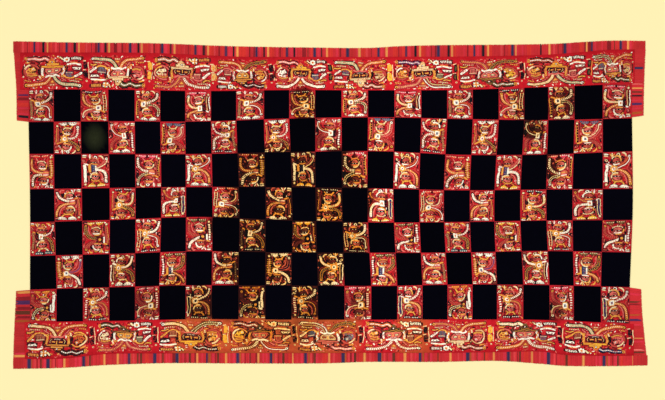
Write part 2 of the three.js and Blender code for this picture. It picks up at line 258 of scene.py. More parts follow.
class Needle:
    def __init__(self):
        self.xy, self.h, self.st, self.tri, self.dye, self.layer, self.n = [], [], [], [], [], [], 0
        self.base = 0

    def add(self, xy, h, st, tri, dye, layer):
        layer += self.base
        self.xy.append(np.asarray(xy, float))
        self.h.append(np.asarray(h, float))
        self.st.append(np.asarray(st, float))
        self.tri.append(np.asarray(tri, int) + self.n)
        self.dye += [dye] * len(xy)
        self.layer.append(np.full(len(xy), layer))
        self.n += len(xy)

    def ribbon(self, points, width, dye, layer, ends="round", step=3.2, shift=0.0, raw=False):
        path = np.asarray(points, float) if raw else smooth_path(points, step)
        nrm, d = normals_of(path)
        path = path + nrm * shift
        w = np.interp(np.linspace(0, 1, len(path)), np.linspace(0, 1, np.size(width)), np.atleast_1d(width)) / 2
        if ends == "round":
            for side in (0, -1):
                r, sign = w[side], -1 if side == 0 else 1
                more = np.array([path[side] + sign * d[side] * r * k for k in (0.55, 0.92)])
                thin = [r * 0.82, r * 0.36]
                n2, d2 = np.repeat(nrm[side][None], 2, 0), np.repeat(d[side][None], 2, 0)
                if side == 0:
                    path, nrm, d, w = np.vstack([more[::-1], path]), np.vstack([n2, nrm]), np.vstack([d2, d]), np.r_[thin[::-1], w]
                else:
                    path, nrm, d, w = np.vstack([path, more]), np.vstack([nrm, n2]), np.vstack([d, d2]), np.r_[w, thin]
        n = len(path)
        s = np.r_[0, np.cumsum(np.linalg.norm(np.diff(path, axis=0), axis=1))]
        xy = np.stack([path - nrm * w[:, None], path, path + nrm * w[:, None]], 1).reshape(-1, 2)
        h = np.tile([0.0, 1.0, 0.0], n)
        st = np.stack([np.repeat(s, 3), np.stack([-w, w * 0, w], 1).ravel()], 1)
        i = np.arange(n - 1)[:, None] * 3
        quads = np.concatenate([i + [0, 1, 4], i + [0, 4, 3], i + [1, 2, 5], i + [1, 5, 4]], 0)
        self.add(xy, h, st, quads, dye, layer)

    def dot(self, x, y, r, dye, layer, squash=1.0, angle=0.0, n=8):
        a = np.arange(n) * 2 * math.pi / n + 0.2
        c, s = math.cos(angle), math.sin(angle)
        px, py = np.cos(a) * r, np.sin(a) * r * squash
        xy = np.vstack([[x, y], np.stack([x + px * c - py * s, y + px * s + py * c], 1)])
        tri = [[0, k + 1, (k + 1) % n + 1] for k in range(n)]
        self.add(xy, [1.0] + [0.0] * n, xy - [x, y], tri, dye, layer)

    def patch(self, points, dye, layer, inset=0.72):
        p = np.asarray(points, float)
        c = p.mean(0)
        n = len(p)
        xy = np.vstack([[c], c + (p - c) * inset, p])
        tri = [[0, k + 1, (k + 1) % n + 1] for k in range(n)]
        tri += [[k + 1, n + k + 1, n + (k + 1) % n + 1] for k in range(n)] + [[k + 1, n + (k + 1) % n + 1, (k + 1) % n + 1] for k in range(n)]
        self.add(xy, [1.0] * (n + 1) + [0.0] * n, xy - c, tri, dye, layer)

    def box(self, x, y, w, h, dye, layer, turn=0.0):
        c, s = math.cos(turn), math.sin(turn)
        self.patch([(x + a * w / 2 * c - b * h / 2 * s, y + a * w / 2 * s + b * h / 2 * c) for a, b in ((-1, -1), (1, -1), (1, 1), (-1, 1))], dye, layer)

    def beads(self, points, r, spacing, dye, layer, shift=0.0, squash=1.0, skip=0.0):
        path = smooth_path(points, 1.5)
        s = np.r_[0, np.cumsum(np.linalg.norm(np.diff(path, axis=0), axis=1))]
        nrm, d = normals_of(path)
        for t in np.arange(skip + spacing / 2, s[-1], spacing):
            x, y = np.interp(t, s, path[:, 0]), np.interp(t, s, path[:, 1])
            nx, ny = np.interp(t, s, nrm[:, 0]), np.interp(t, s, nrm[:, 1])
            self.dot(x + nx * shift, y + ny * shift, r, dye, layer, squash, math.atan2(ny, nx), 7)

    def rungs(self, points, width, spacing, thick, dye, layer, lean=0.0):
        path = smooth_path(points, 1.5)
        s = np.r_[0, np.cumsum(np.linalg.norm(np.diff(path, axis=0), axis=1))]
        nrm, d = normals_of(path)
        for t in np.arange(spacing / 2, s[-1], spacing):
            p = np.array([np.interp(t, s, path[:, 0]), np.interp(t, s, path[:, 1])])
            q = np.array([np.interp(t, s, nrm[:, 0]), np.interp(t, s, nrm[:, 1])])
            e = np.array([q[1], -q[0]]) * lean
            self.ribbon([p - q * width / 2 - e, p + q * width / 2 + e], thick, dye, layer, ends="flat", raw=True)

    def teeth(self, points, shift, size, spacing, dye, layer, sides=(1, -1)):
        path = smooth_path(points, 1.5)
        s = np.r_[0, np.cumsum(np.linalg.norm(np.diff(path, axis=0), axis=1))]
        nrm, d = normals_of(path)
        for side in sides:
            for t in np.arange(spacing / 2, s[-1], spacing):
                p = np.array([np.interp(t, s, path[:, 0]), np.interp(t, s, path[:, 1])])
                q = side * np.array([np.interp(t, s, nrm[:, 0]), np.interp(t, s, nrm[:, 1])])
                e = np.array([-q[1], q[0]])
                a = p + q * shift
                self.patch([a - e * size * 0.45, a + e * size * 0.45, a + q * size], dye, layer)

    def ring(self, x, y, r, width, dye, layer, start=0.0, end=360.0, squash=1.0):
        a = np.radians(np.linspace(start, end, max(int(abs(end - start) / 24), 4) + 1))
        self.ribbon(np.stack([x + r * np.cos(a), y + r * squash * np.sin(a)], 1), width, dye, layer, ends="flat", raw=True)

    def done(self):
        return dict(xy=np.vstack(self.xy), h=np.concatenate(self.h), st=np.vstack(self.st), tri=np.vstack(self.tri),
                    dye=np.array([DYES[d] for d in self.dye]), layer=np.concatenate(self.layer))


# ---------------------------------------------------------------------------------------------------------------
# Motifs of the field's squares. A square is drawn 100 by 127, with its feet at the foot and its streamers to the
# right. Squares turned upside down and mirrored give the rest.

W, H = 100.0, 127.0


def outlined(n, pts, width, dye, layer=1, shade="umber", edge=6.0):
    n.ribbon(pts, width + edge, shade, 0)
    n.ribbon(pts, width, dye, layer)


def streamer(n, pts, style, w=8.0):
    tip = np.asarray(pts[-1], float)
    on_band = w > 8.5
    pale = "white" if on_band else "cream"
    if on_band:
        n.ribbon(pts, w * 1.25 + 6.5, {"plain": "wine", "dark": "ink", "green": "ink", "double": "ink", "white": "ink", "mellow": "umber", "pale": "ink"}.get(style, "deep_red"), 0)
    else:
        n.ribbon(pts, w * 1.25 + 7.4, {"plain": "ink", "white": "umber", "banded": "umber", "golden": "wine", "dark": "ink", "green": "umber"}.get(style, "deep_red"), 0)
    if style == "plain":
        n.ribbon(pts, w * 1.15, "gold", 1)
        n.ribbon(pts, w * (0.92 if on_band else 0.76), pale if on_band or w > 7.3 else "white", 2)
        n.beads(pts, w * 0.14, 5.6, "tan", 3)
    elif style == "mellow":
        n.ribbon(pts, w * 1.15, "gold", 1)
        n.ribbon(pts, w * 0.86, "cream", 2)
        n.beads(pts, w * 0.14, 5.6, "orange", 3)
    elif style == "pale":
        n.ribbon(pts, w * 1.15, "sage", 1)
        n.ribbon(pts, w * 0.84, "ivory", 2)
        n.rungs(pts, w * 0.5, 8.2, 1.5, "tan", 3, 0.6)
    elif style == "white":
        n.ribbon(pts, w * 1.1, "white", 2)
        n.rungs(pts, w * 0.9, 7.4, 1.7, "straw", 3, 1.2)
    elif style == "banded":
        n.ribbon(pts, w * 1.2, "straw", 1)
        n.ribbon(pts, w * 0.9, "white", 2)
        n.rungs(pts, w * 1.0, 6.6, 2.8, "rust", 3, 0.8)
    elif style == "golden":
        n.ribbon(pts, w * 1.15, "orange", 1)
        n.rungs(pts, w * 1.0, 5.8, 3.2, "gold", 2, 0.6)
        n.beads(pts, 1.5, 5.8, pale, 3)
    elif style == "beads":
        n.beads(pts, w * 0.50, w * 1.08, "white", 2)
        n.beads(pts, w * 0.20, w * 1.08, "gold", 3)
    elif style == "double":
        n.ribbon(pts, w * 0.42, pale, 1, shift=w * 0.55)
        n.ribbon(pts, w * 0.38, "straw" if on_band else "rose", 1, shift=-w * 0.55)
        n.beads(pts, 1.9, 6.4, "rose", 1)
    elif style == "lined":
        n.ribbon(pts, w * 1.2, "deep_red", 1)
        n.ribbon(pts, w * 0.34, "white", 2, shift=w * 0.46)
        n.ribbon(pts, w * 0.36, "orange", 2, shift=-w * 0.46)
    elif style == "dark":
        n.ribbon(pts, w * 1.35, "gold", 1)
        n.ribbon(pts, w * 0.95, "ink", 2)
        n.beads(pts, 1.4, 6.2, "straw", 3)
    elif style == "green":
        n.ribbon(pts, w * 1.25, "cream", 1)
        n.ribbon(pts, w * 0.6, "olive", 2)
        n.rungs(pts, w * 1.2, 7.0, 1.6, "umber", 3)
    elif style == "rosy":
        n.ribbon(pts, w * 1.2, "rose" if on_band else "coral", 1)
        n.rungs(pts, w * 1.1, 6.2, 2.2, "brown" if not on_band else "deep_red", 2, -0.8)
        if on_band:
            n.ribbon(pts, w * 0.26, "straw", 3)
    elif style == "violet":
        n.ribbon(pts, w * 1.3, "rose", 1)
        n.ribbon(pts, w * 0.8, "violet", 2)
    elif style == "feather":
        n.ribbon(pts, w * 1.2, "brown", 1)
        n.rungs(pts, w * 1.5, 5.6, 2.6, "rose" if on_band else "coral", 2, 1.8)
        n.ribbon(pts, w * 0.26, "gold", 3)
    # a blunt animal head closes the streamer
    n.dot(tip[0], tip[1], w * 0.90, "umber", 1, n=10)
    n.dot(tip[0], tip[1], w * 0.56, "gold" if style in ("dark", "golden", "feather", "rosy") else "white", 4, n=10)
    n.dot(tip[0], tip[1], w * 0.26, "ink" if style != "white" else "scarlet", 5, n=7)


def staff(n, style, x=12.0, top=44.0, foot=104.0):
    line = [(x, top), (x + 0.6, (top + foot) / 2), (x, foot)]
    n.ribbon(line, 16.0 if style in ("box_dots", "core_blue", "saw") else 13.0, "umber" if style in ("bar", "box_dots", "core_blue", "olive") else "maroon", 0, ends="flat")
    if style == "box_dots":
        n.ribbon(line, 12.5, "cream", 1, ends="flat")
        n.ribbon(line, 8.0, "orange", 2, ends="flat")
        n.beads(line, 3.4, 9.4, "ink", 3, squash=1.15)
    elif style == "bar":
        n.ribbon(line, 8.8, "white", 1, ends="flat")
    elif style == "saw":
        n.ribbon(line, 7.5, "orange", 1, ends="flat")
        n.teeth(line, 3.4, 4.8, 7.4, "yellow", 1)
        n.beads(line, 2.2, 7.4, "cream", 2)
    elif style == "dots":
        n.ribbon(line, 8.0, "deep_red", 1)
        n.beads(line, 3.6, 8.6, "white", 2)
    elif style == "core_blue":
        n.ribbon(line, 13, "cream", 1, ends="round")
        n.ribbon(line, 8.0, "umber", 2, ends="round")
        n.ribbon(line, 4.6, "blue", 3, ends="round")
    elif style == "core_dark":
        n.ribbon(line, 3.2, "white", 1, ends="flat", shift=4.8)
        n.ribbon(line, 3.2, "straw", 1, ends="flat", shift=-4.8)
        n.ribbon(line, 4.6, "umber", 1, ends="flat")
    elif style == "ladder":
        n.ribbon(line, 2.8, "gold", 1, ends="flat", shift=4.6)
        n.ribbon(line, 2.8, "coral", 1, ends="flat", shift=-4.6)
        n.beads(line, 3.3, 9.2, "ink", 2)
        n.beads(line, 1.6, 9.2, "gold", 2, skip=4.6)
    elif style == "faint":
        n.ribbon(line, 9.0, "coral", 1, ends="flat")
        n.ribbon(line, 1.8, "gold", 2, ends="flat", shift=3.6)
        n.beads(line, 1.6, 6.4, "maroon", 2)
    elif style == "olive":
        n.ribbon(line, 9.0, "tan", 1, ends="flat")
        n.ribbon(line, 4.4, "olive", 2, ends="flat")
        n.beads(line, 1.3, 6.0, "straw", 3)
    elif style == "pale_dots":
        n.ribbon(line, 9.0, "scarlet", 1, ends="flat")
        n.rungs(line, 7.2, 8.2, 3.6, "white", 2)
        n.beads(line, 1.6, 8.2, "ink", 3, skip=4.1)
    n.dot(x, foot + 8, 6.0, "umber", 0)
    n.dot(x, foot + 8, 4.0, "cream", 1)


def waist(n, style, x=36.0, y=56.0):
    n.dot(x, y, 17.5, "maroon", 1, 0.95, n=14)
    if style == "star":
        for k in range(8):
            a = math.radians(45 * k + 12)
            n.patch([(x + 9 * math.cos(a + 0.62), y + 9 * math.sin(a + 0.62)), (x + 9 * math.cos(a - 0.62), y + 9 * math.sin(a - 0.62)), (x + 17 * math.cos(a), y + 18 * math.sin(a))], "gold" if k % 2 else "cream", 3)
        n.dot(x, y, 12.4, "gold", 4, n=12)
        n.dot(x, y, 7.0, "white", 5, n=9)
        n.dot(x + 1, y, 3.0, "rust", 6)
    elif style == "cup":
        n.patch([(x - 16, y - 16), (x - 2, y - 13), (x - 1, y + 13), (x - 16, y + 16), (x - 9, y)], "ink", 3)
        n.box(x + 6, y, 15, 21, "white", 4)
        n.box(x + 6, y, 5, 9, "orange", 5)
    elif style == "block":
        n.box(x - 8, y, 8, 28, "gold", 3)
        n.box(x + 4, y, 13, 27, "blue", 4)
        n.beads([(x + 4, y - 13), (x + 4, y + 13)], 2.8, 8.4, "slate", 5)
        n.box(x + 13, y, 5, 22, "white", 4)
    elif style == "pale":
        n.patch([(x - 12, y - 11), (x + 9, y - 13), (x + 12, y - 2), (x + 10, y + 12), (x - 10, y + 12), (x - 13, y + 1)], "gold", 3, 0.8)
        n.patch([(x - 8, y - 8), (x + 8, y - 10), (x + 10, y), (x + 8, y + 9), (x - 7, y + 9), (x - 9, y)], "white", 4, 0.8)
        n.patch([(x - 3, y - 4), (x + 5, y - 5), (x + 5, y + 4), (x - 2, y + 5)], "slate", 5, 0.8)
        n.dot(x - 9, y + 9, 2.2, "ink", 5, 1, 0, 7)
    elif style == "cross":
        n.patch([(x - 14, y - 15), (x, y - 6), (x + 14, y - 15), (x + 9, y), (x + 14, y + 15), (x, y + 6), (x - 14, y + 15), (x - 9, y)], "ink", 3)
        n.dot(x, y, 5.0, "gold", 4)
        n.box(x - 14, y, 5, 22, "white", 3)
    elif style == "rosy":
        n.dot(x, y, 13.5, "coral", 3, 1.05, n=12)
        n.dot(x, y, 9.6, "rose", 4, n=10)
        n.ribbon([(x - 9, y - 5), (x + 9, y - 5)], 3.2, "white", 5)
        n.ribbon([(x - 9, y + 5), (x + 9, y + 5)], 3.2, "gold", 5)


def mask(n, x, y, skin, band, lie, mouth, behind="maroon"):
    """A plain mask turned to one side under an open arch: a dark bar over the eyes, a brow band, a pin and a collar.
    lie is 1 when the arch opens downwards and -1 when it opens upwards."""
    n.dot(x, y, 21, behind, 0, 0.86, 0, 16)
    n.ring(x, y + 1.0 * lie, 17.6, 4.6, band, 3, 168 if lie > 0 else 12, 292 if lie > 0 else -112, 0.92)
    n.beads([(x + 5, y - 15.5 * lie), (x + 14, y - 11.5 * lie), (x + 18.5, y - 3 * lie)], 2.1, 5.0, "coral", 3)
    n.patch([(x - 11, y - 9 * lie), (x + 10, y - 10 * lie), (x + 15, y - 2 * lie), (x + 10, y + 9 * lie), (x - 3, y + 11.5 * lie), (x - 12, y + 6 * lie)], skin, 3, 0.8)
    n.patch([(x - 12, y - 10.5 * lie), (x + 1, y - 12.5 * lie), (x + 12, y - 10.5 * lie), (x + 12, y - 7.5 * lie), (x, y - 8.5 * lie), (x - 12, y - 6.5 * lie)], "gold" if band != "gold" else "white", 4, 0.7)
    n.ribbon([(x - 10, y - 3.0 * lie), (x + 2, y - 1.8 * lie), (x + 13, y - 1.0 * lie)], [4.6, 6.4, 4.0], "ink", 4)
    for at in (-3.5, 6.5):
        n.dot(x + at, y - 2.2 * lie, 1.7, mouth, 5, 0.8, 0, 7)
    n.ribbon([(x + 1, y + 5.4 * lie), (x + 10, y + 4.2 * lie)], 2.4, "wine" if skin != "rust" else "cream", 4)
    n.beads([(x - 16, y + 9.0 * lie), (x - 8, y + 15.0 * lie), (x + 5, y + 16.0 * lie), (x + 15, y + 12.0 * lie)], 2.3, 5.2, "gold" if band != "gold" else "cream", 3)


# Small marks that fill the open ground between figures: how often each dye is taken.
FILLING = [("ember", 0.18), ("coral", 0.16), ("rose", 0.17), ("maroon", 0.13), ("gold", 0.03), ("ink", 0.24), ("white", 0.07), ("tan", 0.02)]


def filling(n, width, height, pitch, seed, shares=FILLING):
    marks = np.random.default_rng(seed)
    names, weights = [k for k, _ in shares], np.array([w for _, w in shares])
    across, down = int((width - 6) / pitch), int((height - 6) / pitch)
    for i in range(across):
        for j in range(down):
            x = 3 + (i + 0.5 + marks.uniform(-0.32, 0.32)) * (width - 6) / across
            y = 3 + (j + 0.5 + marks.uniform(-0.32, 0.32)) * (height - 6) / down
            dye = names[int(marks.choice(len(names), p=weights / weights.sum()))]
            turn, half = marks.integers(0, 4) * math.pi / 4 + marks.uniform(-0.25, 0.25), marks.uniform(0.34, 0.60) * pitch
            thick, bend, kind = marks.uniform(3.0, 4.8), marks.uniform(-0.55, 0.55), marks.uniform()
            if kind < 0.16:
                n.dot(x, y, thick * 0.62, dye, 0, 0.9, turn, 7)
                continue
            dx, dy = math.cos(turn) * half, math.sin(turn) * half
            if kind < 0.80:
                path = [(x + dx * k - dy * bend * (1 - k * k), y + dy * k + dx * bend * (1 - k * k)) for k in (-1.0, -0.35, 0.35, 1.0)]
                wide = [thick * 0.45, thick, thick, thick * 0.45]
            else:
                path = [(x - dx, y - dy), (x + dx * 0.6, y + dy * 0.6), (x + dx * 0.7 - dy * 0.9, y + dy * 0.7 + dx * 0.9)]
                wide = [thick * 0.8, thick * 0.8, thick * 0.6]
            n.ribbon(path, wide, dye, 0, ends="flat", raw=True)


FEET = {
    "cream": ("white", "gold", "maroon"), "black": ("ink", "gold", "white"), "pink": ("pink", "rose", "white"),
    "blue": ("slate", "cream", "blue"), "gold": ("yellow", "orange", "white"), "olive": ("olive", "coral", "cream"),
    "teal": ("teal", "cream", "white"), "orange": ("orange", "gold", "yellow"), "red": ("scarlet", "rose", "cream"),
}


def feet(n, style, y=117.0):
    shoe, leg, toe = FEET[style]
    n.ribbon([(36, y - 7), (43, y - 15), (53, y - 17), (63, y - 15), (70, y - 7)], 9.5, "maroon", 0)
    n.ribbon([(36, y - 7), (43, y - 15), (53, y - 17), (63, y - 15), (70, y - 7)], 4.6, leg, 1)
    for x in (36.0, 70.0):
        n.patch([(x - 17, y + 6.5), (x - 13, y - 3), (x - 4, y - 8), (x + 6, y - 8), (x + 15, y - 3), (x + 17, y + 6.5)], "ink" if shoe != "ink" else "wine", 0, 0.86)
        n.patch([(x - 15, y + 4.8), (x - 11, y - 2), (x - 3, y - 6), (x + 5, y - 6), (x + 13, y - 2), (x + 15, y + 4.8)], shoe, 2, 0.8)
        n.beads([(x - 13, y + 2.2), (x + 14, y + 2.2)], 1.9, 7.0, toe, 3)


def crest(n, style, y=10.0):
    """Ornaments over the head: a low spray of petals, a disc between two drops, and a hanging plume."""
    a, b, c = {"cream": ("white", "rose", "ink"), "gold": ("gold", "cream", "maroon"), "mixed": ("rose", "white", "scarlet"), "white": ("cream", "gold", "umber")}[style]
    n.patch([(21, y + 6), (25, y - 6), (31, y - 8), (38, y - 5), (40, y + 6)], "maroon", 0, 0.8)
    for k, dye in enumerate((b, a, b)):
        turn = math.radians(-125 + 35 * k)
        n.ribbon([(30.5, y + 5), (30.5 + 11.5 * math.cos(turn), y + 5 + 11.5 * math.sin(turn))], 3.8, dye, 1 + k % 2)
    n.dot(51, y, 9.2, "umber" if style != "gold" else "wine", 0, 0.9, 0, 12)
    n.dot(51, y, 6.4, a, 1, 0.84, 0.3, 10)
    n.dot(51, y, 3.0, c, 2)
    for at in (43.5, 60.0):
        n.dot(at, y + 5.5, 2.3, b, 1, 1.2, 0, 7)
    n.ribbon([(64, y - 5), (71, y - 4), (77, y + 1), (78, y + 7)], [3.0, 5.4, 4.6, 2.4], a if style != "cream" else "cream", 1)
    n.beads([(66, y + 3), (74, y + 8)], 1.8, 4.4, "ember", 1)


# Darker shapes on the open ground of a square: place, size and dye.
DARKS = [
    [(91, 5, 18, 11, "ink"), (93, 50, 12, 28, "ink"), (24, 88, 11, 28, "umber"), (53, 120, 13, 13, "ink"), (24, 20, 10, 14, "deep_red")],
    [(90, 120, 20, 12, "ink"), (68, 24, 15, 15, "ink"), (92, 60, 12, 20, "deep_red"), (23, 100, 10, 24, "ink"), (9, 34, 14, 9, "ink")],
    [(24, 16, 10, 18, "ink"), (92, 62, 14, 24, "ink"), (25, 78, 12, 18, "ink"), (92, 117, 14, 14, "deep_red"), (72, 47, 18, 6, "umber")],
    [(88, 6, 22, 11, "umber"), (24, 94, 12, 32, "ink"), (53, 121, 11, 12, "ink"), (93, 42, 12, 18, "ink"), (62, 72, 17, 13, "umber")],
]


def cell(feet_style, upper, lower, waist_style, staff_style, skin="rose", band="cream", crown="cream", tail=0):
    n = Needle()
    filling(n, W, H, 8.6, 40 + tail + 4 * len(upper) + 9 * len(lower) + 31 * len(waist_style))
    n.base = 1
    # streamers leave the waist, part, and end in the right corners
    up = [[(46, 53), (61, 50), (77, 43), (86, 31), (88.5, 15)], [(46, 52), (60, 46), (72, 41), (84, 31), (89, 17)]][tail % 2]
    down = [[(46, 60), (63, 62), (79, 70), (88, 85), (89, 107)], [(46, 60), (62, 60), (80, 66), (89, 80), (88.5, 104)]][tail // 2 % 2]
    streamer(n, down, lower, 7.4)
    streamer(n, up, upper, 7.2)
    # thin arcs inside and outside the streamers
    n.ribbon([(64, 70), (74, 78), (78, 92), (78, 104)], 4.0, "rose" if tail % 2 else "wine", 1)
    n.ribbon([(62, 43), (73, 36), (78, 25)], 3.6, "coral" if tail % 2 else "ink", 1)
    n.ribbon([(66, 56), (82, 59), (94, 70)], 3.0, "ember", 1)
    # the arm from the waist to the staff
    n.ribbon([(30, 49), (22, 43), (13, 40)], 9.6, "deep_red", 0)
    n.ribbon([(30, 49), (22, 43), (13, 40)], 5.4, "white" if staff_style in ("bar", "core_dark", "core_blue") else "gold", 1)
    waist(n, waist_style)
    mask(n, 48, 86, skin, band, 1, "white", "ink" if tail in (0, 3) else "maroon")
    mask(n, 45, 30, "coral" if skin == "rose" else "rose", "white" if band == "gold" else "gold" if tail == 1 else "rose", -1 if tail % 2 else 1, "cream", "ink" if tail in (1, 2) else "maroon")
    crest(n, crown)
    staff(n, staff_style)
    feet(n, feet_style)
    # tokens over the staff
    n.box(11, 9, 17, 10, "umber", 0, 0.1)
    n.patch([(4, 5.5), (10, 4), (18, 5), (17.5, 8.5), (11, 8), (5, 9)], "white", 1, 0.8)
    n.patch([(5, 11), (12, 10.5), (18, 11.5), (17, 15), (9, 14.5), (4, 14)], "cream" if crown != "gold" else "gold", 1, 0.8)
    n.dot(11, 27, 7.4, "maroon", 0, 0.9, 0, 10)
    n.dot(11, 27, 5.0, "rose" if crown != "white" else "cream", 1, 0.8, 0.7, 9)
    n.dot(12, 27, 2.0, "ink", 2, 1, 0, 7)
    # darker shapes on the open ground, placed one of four ways
    for x, y, w, h, dye in DARKS[tail]:
        w, h = w * 1.25, h * 1.2
        n.patch([(x - w * 0.5, y - h * 0.3), (x - w * 0.2, y - h * 0.5), (x + w * 0.4, y - h * 0.42), (x + w * 0.5, y + h * 0.2), (x + w * 0.1, y + h * 0.5), (x - w * 0.42, y + h * 0.38)], dye, 0, 0.7)
    # small marks on the open ground
    n.dot(24, 33, 3.4, "ink", 1)
    n.dot(66, 29, 3.6, "ink", 1, 0.8)
    n.box(93, 45, 5, 11, "ink" if tail < 2 else "coral", 1, 0.2)
    n.box(24, 74, 6, 9, "ink" if tail > 1 else "rose", 1, -0.2)
    n.ribbon([(25, 84), (24, 98)], 4.4, "coral", 1)
    n.ribbon([(60, 66), (70, 66)], 4.0, "ember", 1)
    n.box(95, 30, 4, 8, "rose", 1)
    n.dot(95, 58, 2.6, "rose", 1)
    n.ribbon([(30, 43), (34, 40)], 3.0, "rose", 1)
    n.ribbon([(24, 104), (24, 112)], 4.2, "ember", 1)
    n.ribbon([(80, 116), (94, 118)], 4.0, "rose", 1)
    n.ribbon([(83, 5), (94, 5)], 3.2, "coral", 1)
    return n.done()


# The four kinds of square that each row repeats: feet, streamer on the head side, streamer on the feet side, waist,
# staff, face, head band, crest.
KINDS = [
    [("cream", "banded", "lined", "pale", "olive", "rose", "cream", "cream"),
     ("black", "double", "golden", "pale", "box_dots", "rust", "cream", "gold"),
     ("cream", "banded", "green", "pale", "ladder", "rose", "cream", "white"),
     ("pink", "golden", "plain", "cup", "core_dark", "rose", "gold", "mixed")],
    [("cream", "dark", "beads", "star", "faint", "tan", "gold", "cream"),
     ("cream", "lined", "rosy", "cup", "dots", "rose", "cream", "mixed"),
     ("blue", "rosy", "double", "pale", "ladder", "rose", "cream", "gold"),
     ("black", "beads", "banded", "pale", "olive", "rose", "gold", "white")],
    [("red", "banded", "golden", "rosy", "saw", "rose", "gold", "mixed"),
     ("gold", "double", "white", "block", "bar", "rose", "cream", "cream"),
     ("pink", "green", "banded", "rosy", "ladder", "rose", "cream", "cream"),
     ("cream", "lined", "golden", "star", "bar", "rose", "cream", "white")],
    [("cream", "white", "golden", "rosy", "faint", "tan", "cream", "mixed"),
     ("black", "dark", "plain", "star", "faint", "rose", "cream", "gold"),
     ("gold", "feather", "white", "cup", "core_blue", "rose", "gold", "cream"),
     ("red", "lined", "double", "pale", "box_dots", "rose", "cream", "white")],
    [("teal", "beads", "dark", "cup", "olive", "rose", "cream", "gold"),
     ("gold", "rosy", "dark", "cross", "faint", "tan", "gold", "gold"),
     ("black", "white", "lined", "star", "box_dots", "rose", "cream", "cream"),
     ("olive", "white", "rosy", "cross", "dots", "rose", "gold", "mixed")],
    [("cream", "white", "violet", "pale", "saw", "rose", "cream", "cream"),
     ("cream", "plain", "dark", "star", "core_dark", "rose", "gold", "white"),
     ("olive", "golden", "dark", "block", "dots", "tan", "cream", "gold"),
     ("cream", "white", "golden", "rosy", "olive", "rose", "cream", "mixed")],
    [("orange", "green", "rosy", "cross", "bar", "rose", "cream", "gold"),
     ("black", "banded", "feather", "star", "pale_dots", "rose", "cream", "white"),
     ("pink", "double", "rosy", "pale", "pale_dots", "rose", "white", "mixed"),
     ("black", "beads", "golden", "pale", "core_blue", "tan", "cream", "cream")],
]


def turned(row, col):
    """How the square at this row and column (from 1) stands: feet up, and streamers to the left."""
    k = (col - 1) // 2 if row % 2 else col // 2 - 1
    if row in (1, 5):
        up = k % 2 == 1
    elif row in (3, 7):
        up = k % 2 == 0
    elif row in (2, 6):
        up = k % 2 == 0
    else:
        up = k % 2 == 1
    left = up if row % 2 else not up
    if (row, col) == (6, 4):
        left = False
    return k % 4, up, left


# ---------------------------------------------------------------------------------------------------------------
# Motifs of the bands. A figure is drawn 220 by 136: a frontal mask with a stepped brow band, ear hangings, two
# streamers that part below it, one that leaves its brow, an open ring with a small animal, and a small face.

BW, BH = 220.0, 136.0
BAND_FILLING = [("ember", 0.24), ("coral", 0.22), ("rose", 0.22), ("maroon", 0.08), ("gold", 0.04), ("ink", 0.10), ("white", 0.10)]


